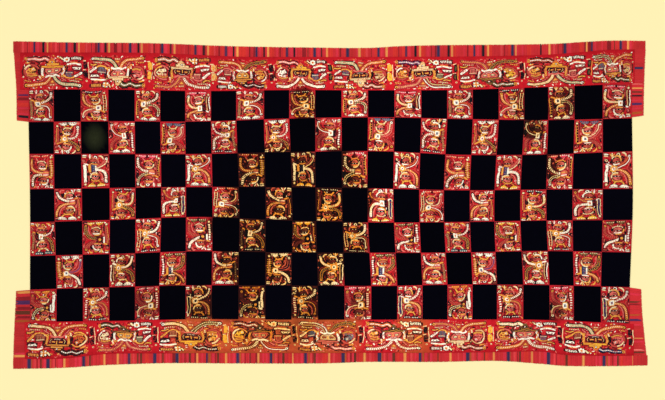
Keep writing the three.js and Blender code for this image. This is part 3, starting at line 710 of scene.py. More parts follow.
def band_figure(brow, mask, left_style, right_style, serpent, ring, animal, face, spray):
    n = Needle()
    filling(n, BW, BH, 9.2, 7 + 3 * len(left_style) + 11 * len(right_style) + 29 * len(brow) + 5 * len(serpent), BAND_FILLING)
    n.base = 1
    # streamers
    streamer(n, [(103, 84), (96, 97), (84, 110), (64, 118), (40, 121), (14, 121)], left_style, 9.0)
    streamer(n, [(117, 84), (124, 98), (137, 111), (158, 118), (182, 120), (206, 121)], right_style, 9.0)
    # serpent from the brow
    snake = [(98, 24), (84, 16), (66, 21), (46, 15), (22, 17)]
    n.ribbon(snake, 22, "ink", 0)
    n.ribbon(snake, 11.5, serpent, 2)
    n.beads(snake, 2.4, 5.8, "white", 3)
    n.box(14, 17, 9, 13, "gold", 2)
    n.dot(14, 14, 2.0, "ink", 3)
    n.dot(14, 20, 2.0, "ink", 3)
    # ear hangings
    for side in (-1, 1):
        n.ribbon([(110 + side * 36, 47), (110 + side * 39, 62), (110 + side * 37, 78)], 11.0, "deep_red", 0)
        n.ribbon([(110 + side * 36, 47), (110 + side * 39, 62), (110 + side * 37, 78)], 6.8, "gold" if ring == "gold" or mask == "dark" else "white", 2)
        n.beads([(110 + side * 36, 47), (110 + side * 39, 62), (110 + side * 37, 78)], 1.2, 6.0, "wine", 3)
        n.dot(110 + side * 37, 84, 5.0, "gold", 2)
        n.dot(110 + side * 37, 84, 2.0, "ink", 3)
        n.patch([(110 + side * 45, 52), (110 + side * 53, 54), (110 + side * 54, 74), (110 + side * 48, 82), (110 + side * 44, 76)], "ink", 1, 0.8)
        n.box(110 + side * 47, 84, 6, 5, "cream", 1)
    # mask
    edge, skin, eye = {"dark": ("ink", "ink", "gold"), "rosy": ("umber", "rose", "cream"), "gold": ("umber", "gold", "cream"),
                       "cream": ("umber", "straw", "rust"), "violet": ("coral", "violet", "rose")}[mask]
    n.patch([(80, 50), (140, 50), (144, 62), (138, 73), (124, 80), (110, 83), (96, 80), (82, 73), (76, 62)], edge, 3, 0.8)
    n.patch([(83, 53), (137, 53), (140, 62), (134, 71), (122, 77), (110, 79), (98, 77), (86, 71), (80, 62)], skin, 4, 0.8)
    for side in (-1, 1):
        n.ribbon([(110 + side * 21, 61), (110 + side * 14, 63), (110 + side * 6, 62)], 9.0, "umber" if skin != "ink" else "wine", 5, ends="flat")
        n.ribbon([(110 + side * 19, 61.5), (110 + side * 14, 63), (110 + side * 8, 62.5)], 4.6, eye, 6, ends="flat")
    n.ribbon([(110, 56), (111, 67)], 3.0, "gold" if skin != "gold" else "orange", 5)
    n.ribbon([(96, 72.0), (110, 74.5), (124, 72.0)], 4.0, "wine", 5)
    n.beads([(99, 72.4), (110, 74.2), (121, 72.4)], 1.3, 4.6, "white", 6)
    for side in (-1, 1):
        n.ribbon([(110 + side * 25, 57), (110 + side * 27.5, 64), (110 + side * 22, 71)], 2.0, "rust" if skin != "ink" else "straw", 5)
    n.ribbon([(84, 85), (96, 80), (110, 83), (124, 80), (136, 85)], 6.2, "rose" if mask in ("dark", "violet") else "white", 5)
    # stepped brow, each step its own length, not quite level
    rim, fill = {"yellow": ("orange", "yellow"), "cream": ("straw", "cream"), "ink": ("olive", "ink"), "gold": ("umber", "gold"), "rose": ("umber", "rose")}[brow]
    for x, y, w, h in ((109, 47.5, 78, 8.6), (111, 39.5, 44, 9.6), (108, 31, 24, 9)):
        n.box(x, y, w + 5, h + 4.4, "umber" if fill != "ink" else "wine", 1)
        n.box(x, y, w, h, rim, 3)
        n.box(x, y, w - 4.5, h - 3.4, fill, 4)
    n.patch([(101, 27), (119, 27), (116, 20), (110, 16.5), (103, 20)], rim, 3, 0.8)
    n.ribbon([(74, 49), (92, 47), (110, 49), (128, 47), (146, 49)], 1.7, "rust" if fill != "ink" else "gold", 5)
    n.ribbon([(96, 40), (110, 41.5), (126, 40)], 1.6, "tan" if fill != "ink" else "gold", 5)
    for side in (-1, 1):
        n.dot(110 + side * 46, 43, 4.4, "umber", 1, 1, 0, 9)
        n.dot(110 + side * 46, 43, 2.7, rim, 3, 1, 0, 8)
    n.dot(110, 33, 4.8, "wine", 5)
    n.dot(110, 33, 2.5, "white", 6)
    # open ring with a small animal
    n.ring(38, 66, 27, 12, "deep_red", 0, 50, 335, 0.98)
    n.ring(38, 66, 26.5, 5.2, "coral" if ring in ("cream", "white") else ring, 2, 62, 196, 1.0)
    n.ring(39, 66, 27.5, 6.0, "gold" if ring == "rose" else "cream" if ring != "white" else "white", 2, 196, 262, 0.94)
    n.ring(37, 65, 26.5, 4.8, "coral" if ring in ("cream", "white") else ring, 2, 262, 334, 1.0)
    n.beads([(15, 52), (10.5, 66), (15, 80)], 1.7, 5.2, "cream" if ring != "cream" else "rust", 3)
    n.ring(38, 66, 20.5, 3.4, "pink" if ring == "cream" else "ink", 1, 90, 240, 0.98)
    n.patch([(22, 50), (40, 44), (55, 53), (54, 68), (38, 72), (21, 64)], "ink" if ring in ("cream", "gold") else "wine", 1, 0.8)
    n.patch([(27, 50), (31, 53), (41, 50), (45, 45), (49, 52), (52, 60), (44, 63), (38, 67), (28, 65), (24, 58)], animal, 2, 0.7)
    n.dot(44, 56, 3.2, "white", 3)
    n.dot(44, 56, 1.5, "ink", 4)
    n.ribbon([(50, 62), (44, 65), (38, 64)], 2.2, "wine", 3)
    n.ribbon([(24, 60), (19, 66), (24, 72), (33, 70)], 4.0, animal, 2)
    n.rungs([(30, 72), (52, 74)], 10, 5.4, 2.8, animal, 2)
    n.ribbon([(22, 80), (38, 84.5), (56, 80)], 8.4, "wine", 1)
    n.ribbon([(24, 80), (38, 84), (54, 80)], 5.4, "gold", 2)
    n.beads([(24, 80), (38, 84), (54, 80)], 1.2, 4.4, "wine", 3)
    n.dot(33, 57, 2.4, "wine", 3)
    n.ribbon([(60, 44), (66, 54), (64, 68)], 7.6, "ink", 1)
    n.ribbon([(5, 50), (3.5, 66), (6, 80)], 5.4, "umber", 1)
    n.dot(7, 90, 3.0, "cream", 1)
    n.dot(64, 90, 3.2, "cream", 1)
    n.ribbon([(56, 98), (68, 95)], 3.4, "gold", 1)
    # small face at the far side, with a striped fan under its chin
    n.ring(172, 68, 25, 11, "deep_red", 0, 40, 215, 1.05)
    n.ring(172, 68, 25, 5.0, "gold" if face != "cream" else "rose", 2, 40, 215, 1.05)
    n.patch([(154, 62), (188, 62), (188, 89), (168, 93), (154, 85)], "wine", 1, 0.82)
    n.patch([(158, 66), (184, 66), (184, 86), (168, 89), (158, 82)], "rose" if face == "cream" else "tan" if face == "dark" else "sage" if ring == "white" else "slate", 2, 0.82)
    n.rungs([(160, 76), (184, 77)], 18, 5.0, 2.4, "umber", 3)
    n.ribbon([(160, 70), (184, 70)], 2.0, "cream", 4)
    n.ribbon([(160, 38), (186, 34), (214, 38)], 9.4, "deep_red", 0)
    n.ribbon([(162, 38), (186, 34), (212, 38)], 6.2, "white", 1)
    n.ribbon([(176, 31), (200, 31)], 3.4, "gold", 1)
    n.patch([(180, 43), (214, 42), (217, 60), (198, 65), (179, 60)], "ink" if face == "dark" else "wine" if face == "red" else "brown", 1, 0.8)
    n.patch([(181, 49), (197, 47.5), (214, 48), (208, 56), (198, 54.5), (187, 57)], "white", 2, 0.7)
    for x in (191, 204):
        n.dot(x, 52, 2.5, "ink", 3, 1, 0, 7)
    n.ribbon([(190, 85), (201, 77), (214, 67)], 12.0, "ink" if face == "red" else "wine", 0)
    n.ribbon([(192, 84), (201, 77), (213, 68)], 7.4, "white" if face != "dark" else "gold", 2)
    n.ribbon([(196, 82), (204, 76), (210, 70)], 1.6, "scarlet", 3)
    outlined(n, [(190, 98), (200, 94), (212, 96)], 4.6, "gold")
    n.ribbon([(154, 42), (161, 51), (156, 60)], 6.4, "umber", 1)
    # spray at the head's side: a flower and a plume
    n.dot(158, 18, 15.5, "umber" if spray == "plume" else "wine", 0, 0.9, 0, 14)
    for k in range(8):
        a = math.radians(45 * k)
        n.dot(158 + 8.6 * math.cos(a), 18 + 7.6 * math.sin(a), 4.2, "white" if spray == "flower" or k % 2 else "gold", 1 + k % 2, 0.8, a, 7)
    n.dot(158, 18, 4.6, "gold", 3, 1, 0, 8)
    n.dot(158, 18, 2.2, "scarlet", 4, 1, 0, 7)
    n.ribbon([(174, 15), (192, 13), (214, 15)], 16, "umber" if spray == "flower" else "wine", 1)
    n.rungs([(174, 15), (192, 13), (212, 15)], 9.5, 5.6, 3.0, "white" if spray == "flower" else "gold", 2, 1.0)
    outlined(n, [(138, 10), (144, 18)], 5.6, "cream")
    n.beads([(126, 12), (134, 14)], 2.2, 5.4, "gold", 1)
    # small things between the streamers and along the seam
    outlined(n, [(78, 93), (70, 103)], 4.4, "rose", 1, "wine", 5.0)
    n.patch([(98, 122), (122, 122), (121, 104), (110, 95), (99, 104)], "rust", 0, 0.85)
    n.beads([(101, 117), (120, 117)], 2.3, 6.0, "cream", 1)
    n.patch([(103, 109), (117, 109), (110, 100)], "gold", 1)
    outlined(n, [(143, 92), (156, 103)], 4.4, "rose", 1, "wine", 5.0)
    n.ribbon([(8, 104), (34, 107)], 7.0, "deep_red", 0)
    n.beads([(8, 104), (34, 107)], 2.4, 6.2, "gold", 1)
    n.ribbon([(168, 105), (202, 106)], 6.6, "deep_red", 0)
    n.beads([(168, 105), (202, 106)], 2.1, 6.0, "cream", 1)
    n.ribbon([(60, 30), (66, 36), (60, 42)], 5.0, "umber", 0)
    n.ribbon([(16, 34), (30, 31)], 5.0, "gold", 1)
    n.ribbon([(36, 31), (50, 33)], 4.6, "ink", 0)
    for x, y, w, h in ((70, 68, 7, 15), (151, 47, 9, 10), (146, 80, 8, 13), (56, 104, 13, 6), (206, 27, 12, 6)):
        n.patch([(x - w * 0.5, y - h * 0.3), (x - w * 0.1, y - h * 0.5), (x + w * 0.5, y - h * 0.3), (x + w * 0.4, y + h * 0.4), (x, y + h * 0.5), (x - w * 0.4, y + h * 0.2)], "ink", 0, 0.7)
    return n.done()


def divider(dyes):
    """Two stacked blocks with pins, 24 by 136."""
    n = Needle()
    for k, y in enumerate((42.0, 80.0)):
        n.patch([(4, y - 15), (16, y - 16), (19, y - 5), (18, y + 13), (6, y + 15), (3, y + 2)], dyes[0], 1, 0.8)
        n.patch([(8.5, y - 10), (14, y - 11), (15, y - 4), (13.5, y + 8), (9.5, y + 9), (7.5, y + 1)], dyes[1], 2, 0.8)
        n.ribbon([(0, y - 17), (11, y - 19)], 3.2, "cream", 1)
    n.ribbon([(21, 28), (22, 60), (21, 94)], 2.6, dyes[2], 1)
    n.dot(12, 104, 3.4, "cream", 1)
    n.dot(12, 104, 1.5, "ink", 2)
    return n.done()


# Each band's figures, from left to right: where each starts and ends in millimetres, whether it is upside down, and
# its brow, mask, streamers, serpent, ring, animal, small face and spray.
TOP_FIGURES = [
    (-1236, -988, False, "yellow", "rosy", "golden", "pale", "rose", "cream", "gold", "red", "flower"),
    (-966, -734, True, "cream", "rosy", "golden", "pale", "olive", "cream", "rose", "red", "plume"),
    (-712, -478, False, "cream", "dark", "feather", "banded", "tan", "rose", "cream", "cream", "plume"),
    (-458, -246, True, "gold", "gold", "dark", "golden", "umber", "white", "gold", "cream", "flower"),
    (-226, -12, False, "yellow", "dark", "plain", "plain", "rose", "cream", "white", "red", "flower"),
    (10, 228, True, "cream", "dark", "golden", "pale", "tan", "cream", "straw", "red", "plume"),
    (250, 490, False, "cream", "dark", "rosy", "double", "violet", "white", "gold", "red", "flower"),
    (514, 756, True, "ink", "rosy", "dark", "feather", "olive", "cream", "yellow", "cream", "plume"),
    (778, 1024, False, "yellow", "dark", "mellow", "pale", "rust", "cream", "gold", "cream", "flower"),
    (1046, 1212, True, "gold", "rosy", "golden", "green", "olive", "cream", "straw", "red", "plume"),
]
BOTTOM_FIGURES = [
    (-1220, -964, True, "gold", "dark", "golden", "mellow", "umber", "gold", "orange", "dark", "plume"),
    (-938, -712, False, "ink", "gold", "feather", "rosy", "olive", "white", "cream", "red", "flower"),
    (-686, -430, True, "yellow", "dark", "green", "mellow", "umber", "cream", "gold", "dark", "plume"),
    (-406, -156, False, "ink", "rosy", "banded", "lined", "rust", "gold", "yellow", "cream", "flower"),
    (-130, 110, True, "rose", "cream", "dark", "double", "rose", "cream", "slate", "red", "plume"),
    (136, 370, False, "ink", "rosy", "banded", "beads", "orange", "cream", "gold", "dark", "flower"),
    (396, 630, True, "cream", "rosy", "golden", "feather", "tan", "straw", "rose", "red", "flower"),
    (654, 906, False, "ink", "rosy", "golden", "banded", "cream", "rose", "gold", "red", "flower"),
    (932, 1188, True, "yellow", "dark", "golden", "pale", "blue", "cream", "rose", "dark", "flower"),
]
# The dividers between figures: place in millimetres and dyes.
TOP_DIVIDERS = [(-977, "black"), (-723, "yellow"), (-468, "gold"), (-236, "black"), (-1, "green"), (239, "yellow"), (502, "green"), (767, "black"), (1035, "green")]
BOTTOM_DIVIDERS = [(-951, "black"), (-699, "black"), (-418, "yellow"), (-143, "black"), (123, "black"), (383, "black"), (642, "yellow"), (919, "black"), (1200, "black")]
DIVIDER_DYES = {"black": ("ink", "ink", "cream"), "yellow": ("yellow", "gold", "cream"), "gold": ("straw", "gold", "gold"), "green": ("ink", "moss", "gold"), "violet": ("ink", "wine", "cream")}


# ---------------------------------------------------------------------------------------------------------------
# Meshes.

def new_mesh(name, co, faces, colours=None, beneath=None, corner_colours=None, uvs=None, floats=None, smooth=False):
    co, faces = np.asarray(co, np.float32), np.asarray(faces, np.int32)
    k = faces.shape[1]
    me = bpy.data.meshes.new(name)
    me.vertices.add(len(co))
    me.vertices.foreach_set("co", co.ravel())
    me.loops.add(faces.size)
    me.loops.foreach_set("vertex_index", faces.ravel())
    me.polygons.add(len(faces))
    me.polygons.foreach_set("loop_start", np.arange(len(faces), dtype=np.int32) * k)
    me.update(calc_edges=True)
    if colours is not None:
        a = me.color_attributes.new("Dye", "FLOAT_COLOR", "POINT")
        a.data.foreach_set("color", np.c_[colours, np.ones(len(colours))].astype(np.float32).ravel())
    if beneath is not None:
        a = me.color_attributes.new("Beneath", "FLOAT_COLOR", "POINT")
        a.data.foreach_set("color", np.c_[beneath, np.ones(len(beneath))].astype(np.float32).ravel())
    if corner_colours is not None:
        a = me.color_attributes.new("Dye", "FLOAT_COLOR", "CORNER")
        a.data.foreach_set("color", np.c_[corner_colours, np.ones(len(corner_colours))].astype(np.float32).ravel())
    for key, values in (floats or {}).items():
        a = me.attributes.new(key, "FLOAT", "CORNER" if len(values) == faces.size and len(values) != len(co) else "POINT")
        a.data.foreach_set("value", np.asarray(values, np.float32))
    for key, values in (uvs or {}).items():
        layer = me.uv_layers.new(name=key)
        values = np.asarray(values, np.float32)
        layer.data.foreach_set("uv", (values if len(values) == faces.size else values[faces.ravel()]).ravel())
    me.polygons.foreach_set("use_smooth", np.full(len(faces), smooth))
    me.validate()
    me.update()
    ob = bpy.data.objects.new(name, me)
    bpy.context.scene.collection.objects.link(ob)
    return ob


def uneven(x, y, phase, amount):
    """No two stitched figures come out alike: each is pulled a little out of shape, its own way."""
    p = np.random.default_rng(phase).uniform(0, 2 * math.pi, 8)
    dx = np.sin(y / 8.5 + p[0]) * 0.5 + np.sin(y / 19.0 + x / 27.0 + p[1]) + np.sin(x / 13.0 + p[2]) * 0.6 + np.sin((x + y) / 4.1 + p[6]) * 0.22
    dy = np.sin(x / 9.5 + p[3]) * 0.5 + np.sin(x / 21.0 - y / 31.0 + p[4]) + np.sin(y / 12.0 + p[5]) * 0.6 + np.sin((x - y) / 4.4 + p[7]) * 0.22
    return x + amount * dx, y + amount * dy


def place_cell(part, row, col, up, left, jitter):
    """A motif set on its square: millimetres, then the tile place inside the square."""
    x, y = uneven(part["xy"][:, 0], part["xy"][:, 1], 100 * row + col, 1.7)
    u, v = x / W, y / H
    u, v = 0.5 + (u - 0.5) * 1.01 + jitter[0], 0.5 + (v - 0.5) * 1.0 + jitter[1]
    u, v = (1 - u if left else u), (1 - v if up else v)
    return np.clip(u, 0.012, 0.988) + col - 1, np.clip(v, 0.012, 0.988) + row - 1


def facing_up(xyz, tri):
    a, b, c = xyz[tri[:, 0], :2], xyz[tri[:, 1], :2], xyz[tri[:, 2], :2]
    area = (b[:, 0] - a[:, 0]) * (c[:, 1] - a[:, 1]) - (b[:, 1] - a[:, 1]) * (c[:, 0] - a[:, 0])
    tri = tri.copy()
    tri[area < 0] = tri[area < 0][:, ::-1]
    return tri[np.abs(area) > 1e-6]


BENEATH = np.array([0.430, 0.014, 0.018])


def assemble(name, parts, slots_across, slots_down):
    """Joins placed motifs into one piece. Each motif and layer has a tile of its own on the bake map."""
    co, tri, dye, low, st, bake, start = [], [], [], [], [], [], 0
    tile = 0
    for p in parts:
        xyz = p["xyz"]
        t = facing_up(xyz, p["tri"])
        layer = p["layer"].astype(int)
        lift = 0.14 + LAYER_STEP * layer + RISE * p["h"]
        z = p["ground"] + lift
        co.append(np.c_[p["xyz"], z])
        tri.append(t + start)
        start += len(z)
        dye.append(aged(p["dye"] * p["tint"], xyz[:, 0], xyz[:, 1], p["is_ground"]))
        low.append(aged(np.tile(BENEATH, (len(z), 1)), xyz[:, 0], xyz[:, 1], np.ones(len(z), bool)))
        st.append(p["st"])
        lo, hi = xyz.min(0), xyz.max(0)
        size = np.maximum(hi - lo, 1e-6)
        local = (xyz - lo) / size
        slot = tile + np.searchsorted(np.unique(layer), layer)
        tile += len(np.unique(layer))
        cx, cy = slot % slots_across, slot // slots_across
        bake.append(np.stack([(cx + 0.03 + 0.94 * local[:, 0]) / slots_across, (cy + 0.03 + 0.94 * local[:, 1]) / slots_down], 1))
    co = np.vstack(co) * MM
    return co, np.vstack(tri), np.vstack(dye), np.vstack(low), np.vstack(st), np.vstack(bake), tile


# ---------------------------------------------------------------------------------------------------------------
# Woven ground: the check field and the two bands, each a thin closed sheet on its solid's folds.

CRIMSON_GROUND = np.array([0.500, 0.010, 0.017])
NIGHT_BLUE = np.array([0.0007, 0.0006, 0.0024])
STAIN = dict(col=2.5, row=1.5, reach=0.40, dye=np.array([0.020, 0.023, 0.010]))
UNDER_Z = 0.25


def grid_faces(across, down, flip=False):
    r, c = np.meshgrid(np.arange(down), np.arange(across), indexing="ij")
    a = (r * (across + 1) + c).ravel()
    f = np.stack([a, a + across + 1, a + across + 2, a + 1], 1)
    return f[:, ::-1] if flip else f


def wall_faces(across, down, offset):
    n = across + 1
    out = []
    for a, b in ([(c, c + 1) for c in range(across)] + [(down * n + c + 1, down * n + c) for c in range(across)]
                 + [((r + 1) * n, r * n) for r in range(down)] + [(r * n + across, (r + 1) * n + across) for r in range(down)]):
        out.append((a, b, b + offset, a + offset))
    return np.array(out)


def closed_sheet(name, across, down, x, y, z, colour_of_face_corner, bake_of, stitched_of):
    """x, y, z are grids of (down + 1) by (across + 1)."""
    n = (across + 1) * (down + 1)
    flat = lambda g: np.asarray(g, float).ravel()
    top = np.c_[flat(x), flat(y), flat(z)]
    under = np.c_[flat(x), flat(y), np.full(n, UNDER_Z)]
    faces_top, faces_under = grid_faces(across, down), grid_faces(across, down, True) + n
    walls = wall_faces(across, down, n)
    faces = np.vstack([faces_top, faces_under, walls])
    co = np.vstack([top, under])
    cell = np.arange(across * down)
    row, col = cell // across, cell % across
    colours = np.concatenate([
        colour_of_face_corner(np.repeat(row, 4), np.repeat(col, 4), top[faces_top.ravel()]),
        colour_of_face_corner(np.repeat(row, 4), np.repeat(col, 4), top[(faces_under - n).ravel()]) * 0.9,
        colour_of_face_corner(np.repeat(np.clip(walls[:, 0] // (across + 1), 0, down - 1), 4), np.repeat(np.clip(walls[:, 0] % (across + 1), 0, across - 1), 4), co[walls.ravel() % n]),
    ])
    bake = np.concatenate([bake_of(np.repeat(row, 4), np.repeat(col, 4), faces_top.ravel(), "top"),
                           bake_of(np.repeat(row, 4), np.repeat(col, 4), (faces_under - n).ravel(), "under"),
                           np.tile([[0.985, 0.002], [0.99, 0.002], [0.99, 0.006], [0.985, 0.006]], (len(walls), 1))])
    stitched = np.concatenate([stitched_of(np.repeat(row, 4), np.repeat(col, 4)), stitched_of(np.repeat(row, 4), np.repeat(col, 4)), np.zeros(len(walls) * 4)])
    return new_mesh(name, co * MM, faces, corner_colours=colours, floats={"Stitched": stitched}, uvs={"OFBake": bake})


SUB = 8  # faces across one square
fu, fv = np.meshgrid(np.arange(COLUMNS * SUB + 1) / SUB, np.arange(ROWS * SUB + 1) / SUB)
fx, fy = on_check(fu, fv)
fy_sewn = fy + np.where(fv == 0, -SEAM, 0) + np.where(fv == ROWS, SEAM, 0)
fz = field_top(np.clip(fu, 0, COLUMNS - 1e-9), np.clip(fv, 0, ROWS - 1e-9), fx, fy)
ACROSS, DOWN = COLUMNS * SUB, ROWS * SUB
stain_x, stain_y = on_check(STAIN["col"], STAIN["row"])


def field_dye(row, col, co):
    red = ((row // SUB + col // SUB) % 2) == 0
    x, y = co[:, 0], co[:, 1]
    ground = aged(np.tile(CRIMSON_GROUND, (len(x), 1)), x, y, np.ones(len(x), bool))
    shade = 0.90 + 0.16 * noise01((row // SUB) * 31 + col // SUB)
    dark = NIGHT_BLUE * (0.8 + 0.5 * noise01((row // SUB) * 17 + (col // SUB) * 5 + 3))[:, None]
    r = np.hypot((x - float(stain_x)) / 105, (y - float(stain_y)) / 132) / STAIN["reach"]
    blot = np.clip(1.15 - r, 0, 1) ** 0.8
    dark = dark * (1 - blot[:, None]) + STAIN["dye"] * blot[:, None]
    return np.where(red[:, None], ground * shade[:, None], dark)


def field_bake(row, col, corner, side):
    c, r = corner % (ACROSS + 1), corner // (ACROSS + 1)
    half = ACROSS // 2 + SUB // 2
    right = col >= half
    if side == "under":
        return np.stack([0.004 + 0.97 * c / ACROSS, 0.010 + 0.105 * (1 - r / DOWN)], 1)
    u = np.where(right, (c - half) / half, c / half) * 0.99 + 0.004
    v = np.where(right, 0.125, 0.565) + 0.43 * (1 - r / DOWN)
    return np.stack([u, v], 1)


field_cloth = closed_sheet("field_cloth", ACROSS, DOWN, fx, fy_sewn, fz, field_dye, field_bake,
                           lambda row, col: (((row // SUB + col // SUB) % 2) == 0).astype(float))

BAND_ENDS = {"top": (-1241, 1216), "bottom": (-1223, 1213)}


def band_cloth(name, top):
    ends = BAND_ENDS["top" if top else "bottom"]
    line, out, edge = (0, 1, TOP_EDGE) if top else (ROWS, -1, BOTTOM_EDGE)
    x = np.concatenate([[ends[0]], on_check(np.arange(COLUMNS * 4 + 1) / 4, float(line))[0], [ends[1]]])
    across, down = len(x) - 1, 10
    s = np.linspace(0, 1, down + 1)
    s = s if top else s[::-1]
    inner = row_line(line, x) + out * SEAM
    outer = edge_line(edge, 2, x) - out * SEAM
    gx = np.tile(x, (down + 1, 1))
    gy = outer + (inner - outer) * s[:, None]
    gz = band_top(s[:, None], gx, gy)

    def dye(row, col, co):
        t = (co[:, 1] - edge_line(edge, 2, co[:, 0])) / (row_line(line, co[:, 0]) - edge_line(edge, 2, co[:, 0]))
        ground = aged(np.tile(CRIMSON_GROUND, (len(t), 1)), co[:, 0], co[:, 1], np.ones(len(t), bool))
        return ground * (0.80 + 0.25 * np.clip(t * 6, 0, 1))[:, None]

    def bake(row, col, corner, side):
        c, r = corner % (across + 1), corner // (across + 1)
        if side == "under":
            return np.stack([0.004 + 0.97 * c / across, 0.012 + 0.10 * (1 - r / down)], 1)
        strip = np.minimum(col * 4 // across, 3)
        u = (c - strip * across / 4) / (across / 4) * 0.985 + 0.006
        return np.stack([u, 0.13 + strip * 0.217 + 0.205 * (1 - r / down)], 1)

    return closed_sheet(name, across, down, gx, gy, gz, dye, bake, lambda row, col: np.ones(len(row)))


band_top_cloth = band_cloth("band_top_cloth", True)
band_bottom_cloth = band_cloth("band_bottom_cloth", False)

# ---------------------------------------------------------------------------------------------------------------
# Stitched figures of the field, one piece a row.

MOTIFS = [[cell(*kind, tail=(r * 3 + k) % 4) for k, kind in enumerate(row)] for r, row in enumerate(KINDS)]


def margin_part():
    n = Needle()
    for a, b in (((0.9, 1.6), (99.1, 1.6)), ((0.9, 125.4), (99.1, 125.4)), ((1.5, 0.9), (1.5, 126.1)), ((98.5, 0.9), (98.5, 126.1))):
        n.ribbon(smooth_path([a, b], 7.0), 1.8, "margin", 0, ends="flat", raw=True)
    return n.done()


MARGIN = margin_part()
rng = np.random.default_rng(11)
stitch_pieces = []
for row in range(1, ROWS + 1):
    parts = []
    for col in range(1 if row % 2 else 2, COLUMNS + 1, 2):
        kind, up, left = turned(row, col)
        for part, full in ((MARGIN, True), (MOTIFS[row - 1][kind], False)):
            if full:
                u, v = part["xy"][:, 0] / W + col - 1, part["xy"][:, 1] / H + row - 1
            else:
                u, v = place_cell(part, row, col, up, left, rng.uniform(-0.006, 0.006, 2))
            x, y = on_check(u, v)
            parts.append(dict(part, xyz=np.c_[x, y], ground=field_top(u, v, x, y), tint=rng.uniform(0.90, 1.06),
                              is_ground=np.full(len(u), full)))
    co, tri, dye, low, st, bake, tiles = assemble("row", parts, 10, 11)
    stitch_pieces.append(new_mesh("stitch_row_%d" % row, co, tri, colours=dye, beneath=low, uvs={"OFBake": bake, "Thread": st}, smooth=True))
    print("row", row, "triangles", len(tri), "tiles", tiles)

# Stitched figures of the bands.


def place_band(part, x0, x1, width, turn, top):
    px, py = uneven(part["xy"][:, 0], part["xy"][:, 1], 5000 + int(x0), 1.9)
    a, b = px / width, py / BH
    if turn:
        a, b = 1 - a, 1 - b
    # the figures fill the band nearly to its seam, and keep a little off its outer edge
    b = (0.055 if top else 0.012) + b * (0.945 if top else 0.972)
    a, b = np.clip(a, 0.0, 1.0), np.clip(b, 0.02, 0.985)
    x = x0 + (x1 - x0) * a
    line, out, edge = (0, 1, TOP_EDGE) if top else (ROWS, -1, BOTTOM_EDGE)
    inner, outer = row_line(line, x) + out * GAP / 2, edge_line(edge, 2, x) - out * GAP / 2
    s = b if top else 1 - b
    y = outer + (inner - outer) * s
    return x, y, band_top(s, x, y)


def band_stitches(name, figures, dividers, top):
    parts = []
    for fig in figures:
        part = band_figure(*fig[3:])
        x, y, z = place_band(part, fig[0], fig[1], BW, fig[2], top)
        parts.append(dict(part, xyz=np.c_[x, y], ground=z, tint=rng.uniform(0.92, 1.06), is_ground=np.zeros(len(x), bool)))
    for at, kind in dividers:
        part = divider(DIVIDER_DYES[kind])
        x, y, z = place_band(part, at - 13, at + 13, 24.0, False, top)
        parts.append(dict(part, xyz=np.c_[np.minimum(x, 1214), y], ground=z, tint=1.0, is_ground=np.zeros(len(x), bool)))
    co, tri, dye, low, st, bake, tiles = assemble(name, parts, 6, 20)
    print(name, "triangles", len(tri), "tiles", tiles)
    return new_mesh(name, co, tri, colours=dye, beneath=low, uvs={"OFBake": bake, "Thread": st}, smooth=True)


band_pieces = [band_stitches("stitch_band_top", TOP_FIGURES, TOP_DIVIDERS, True),
               band_stitches("stitch_band_bottom", BOTTOM_FIGURES, BOTTOM_DIVIDERS, False)]

# ---------------------------------------------------------------------------------------------------------------
# Fringe: yarns laid side by side on a short woven strip, striped by dye.

FRINGE_DYES = {
    "ground": (0.540, 0.023, 0.028), "plain": (0.490, 0.022, 0.023), "pink": (0.630, 0.028, 0.050), "deep": (0.240, 0.012, 0.016),
    "scarlet": (0.600, 0.030, 0.022), "blue": (0.036, 0.026, 0.072), "ink": (0.016, 0.010, 0.014), "gold": (0.740, 0.290, 0.070),
    "brown": (0.120, 0.030, 0.014), "rust": (0.400, 0.075, 0.016), "cream": (0.780, 0.520, 0.240), "violet": (0.075, 0.022, 0.085), "blush": (0.640, 0.046, 0.050),
}
TOP_STRIPES = {
    "blue": [-1184, -1055, -928, -802, -673, -540, -418, -296, -174, -64, 68, 192, 303, 432, 576, 728, 938, 1046, 1161],
    "ink": [-1148, -1023, -900, -768, -639, -506, -388, -266, -145, -36, 340, 473, 611, 842],
    "gold": [-1132, -1006, -885, -755, -624, -489, -372, -250, -14, 116, 225, 358, 486, 630, 742, 876, 1025, 1190],
}
BOTTOM_STRIPES = {
    "blue": [-1206, -1130, -987, -806, -703, -614, -494, -371, -238, -100, 50, 196, 358, 549, 712, 872, 1094],
    "gold": [-1065, -904, -851, -533, -418, -288, -151, -6, 136, 298, 480, 654, 806, 1012, 1212],
    "brown": [-1158, -962, -771, -758, -670, -563, -450, -322, -188, -63, 98, 253, 430, 616, 758, 945, 1150],
}
STRIPE_HALF = {"blue": 5.6, "ink": 4.7, "gold": 4.2, "brown": 3.8}
# Bars beside each blue stripe: offset, half width, dye.
BESIDE_BLUE = {
    True: [(15, 6.0, "pink"), (-11, 4.5, "scarlet"), (-28, 1.8, "deep"), (41, 2.6, "pink"), (66, 8.0, "scarlet"), (-44, 4.0, "blush")],
    False: [(-15, 4.4, "pink"), (9, 2.6, "rust"), (22, 4.0, "blush"), (34, 1.8, "deep"), (46, 5.0, "pink"), (74, 7.0, "scarlet"), (-34, 3.0, "blush")],
}
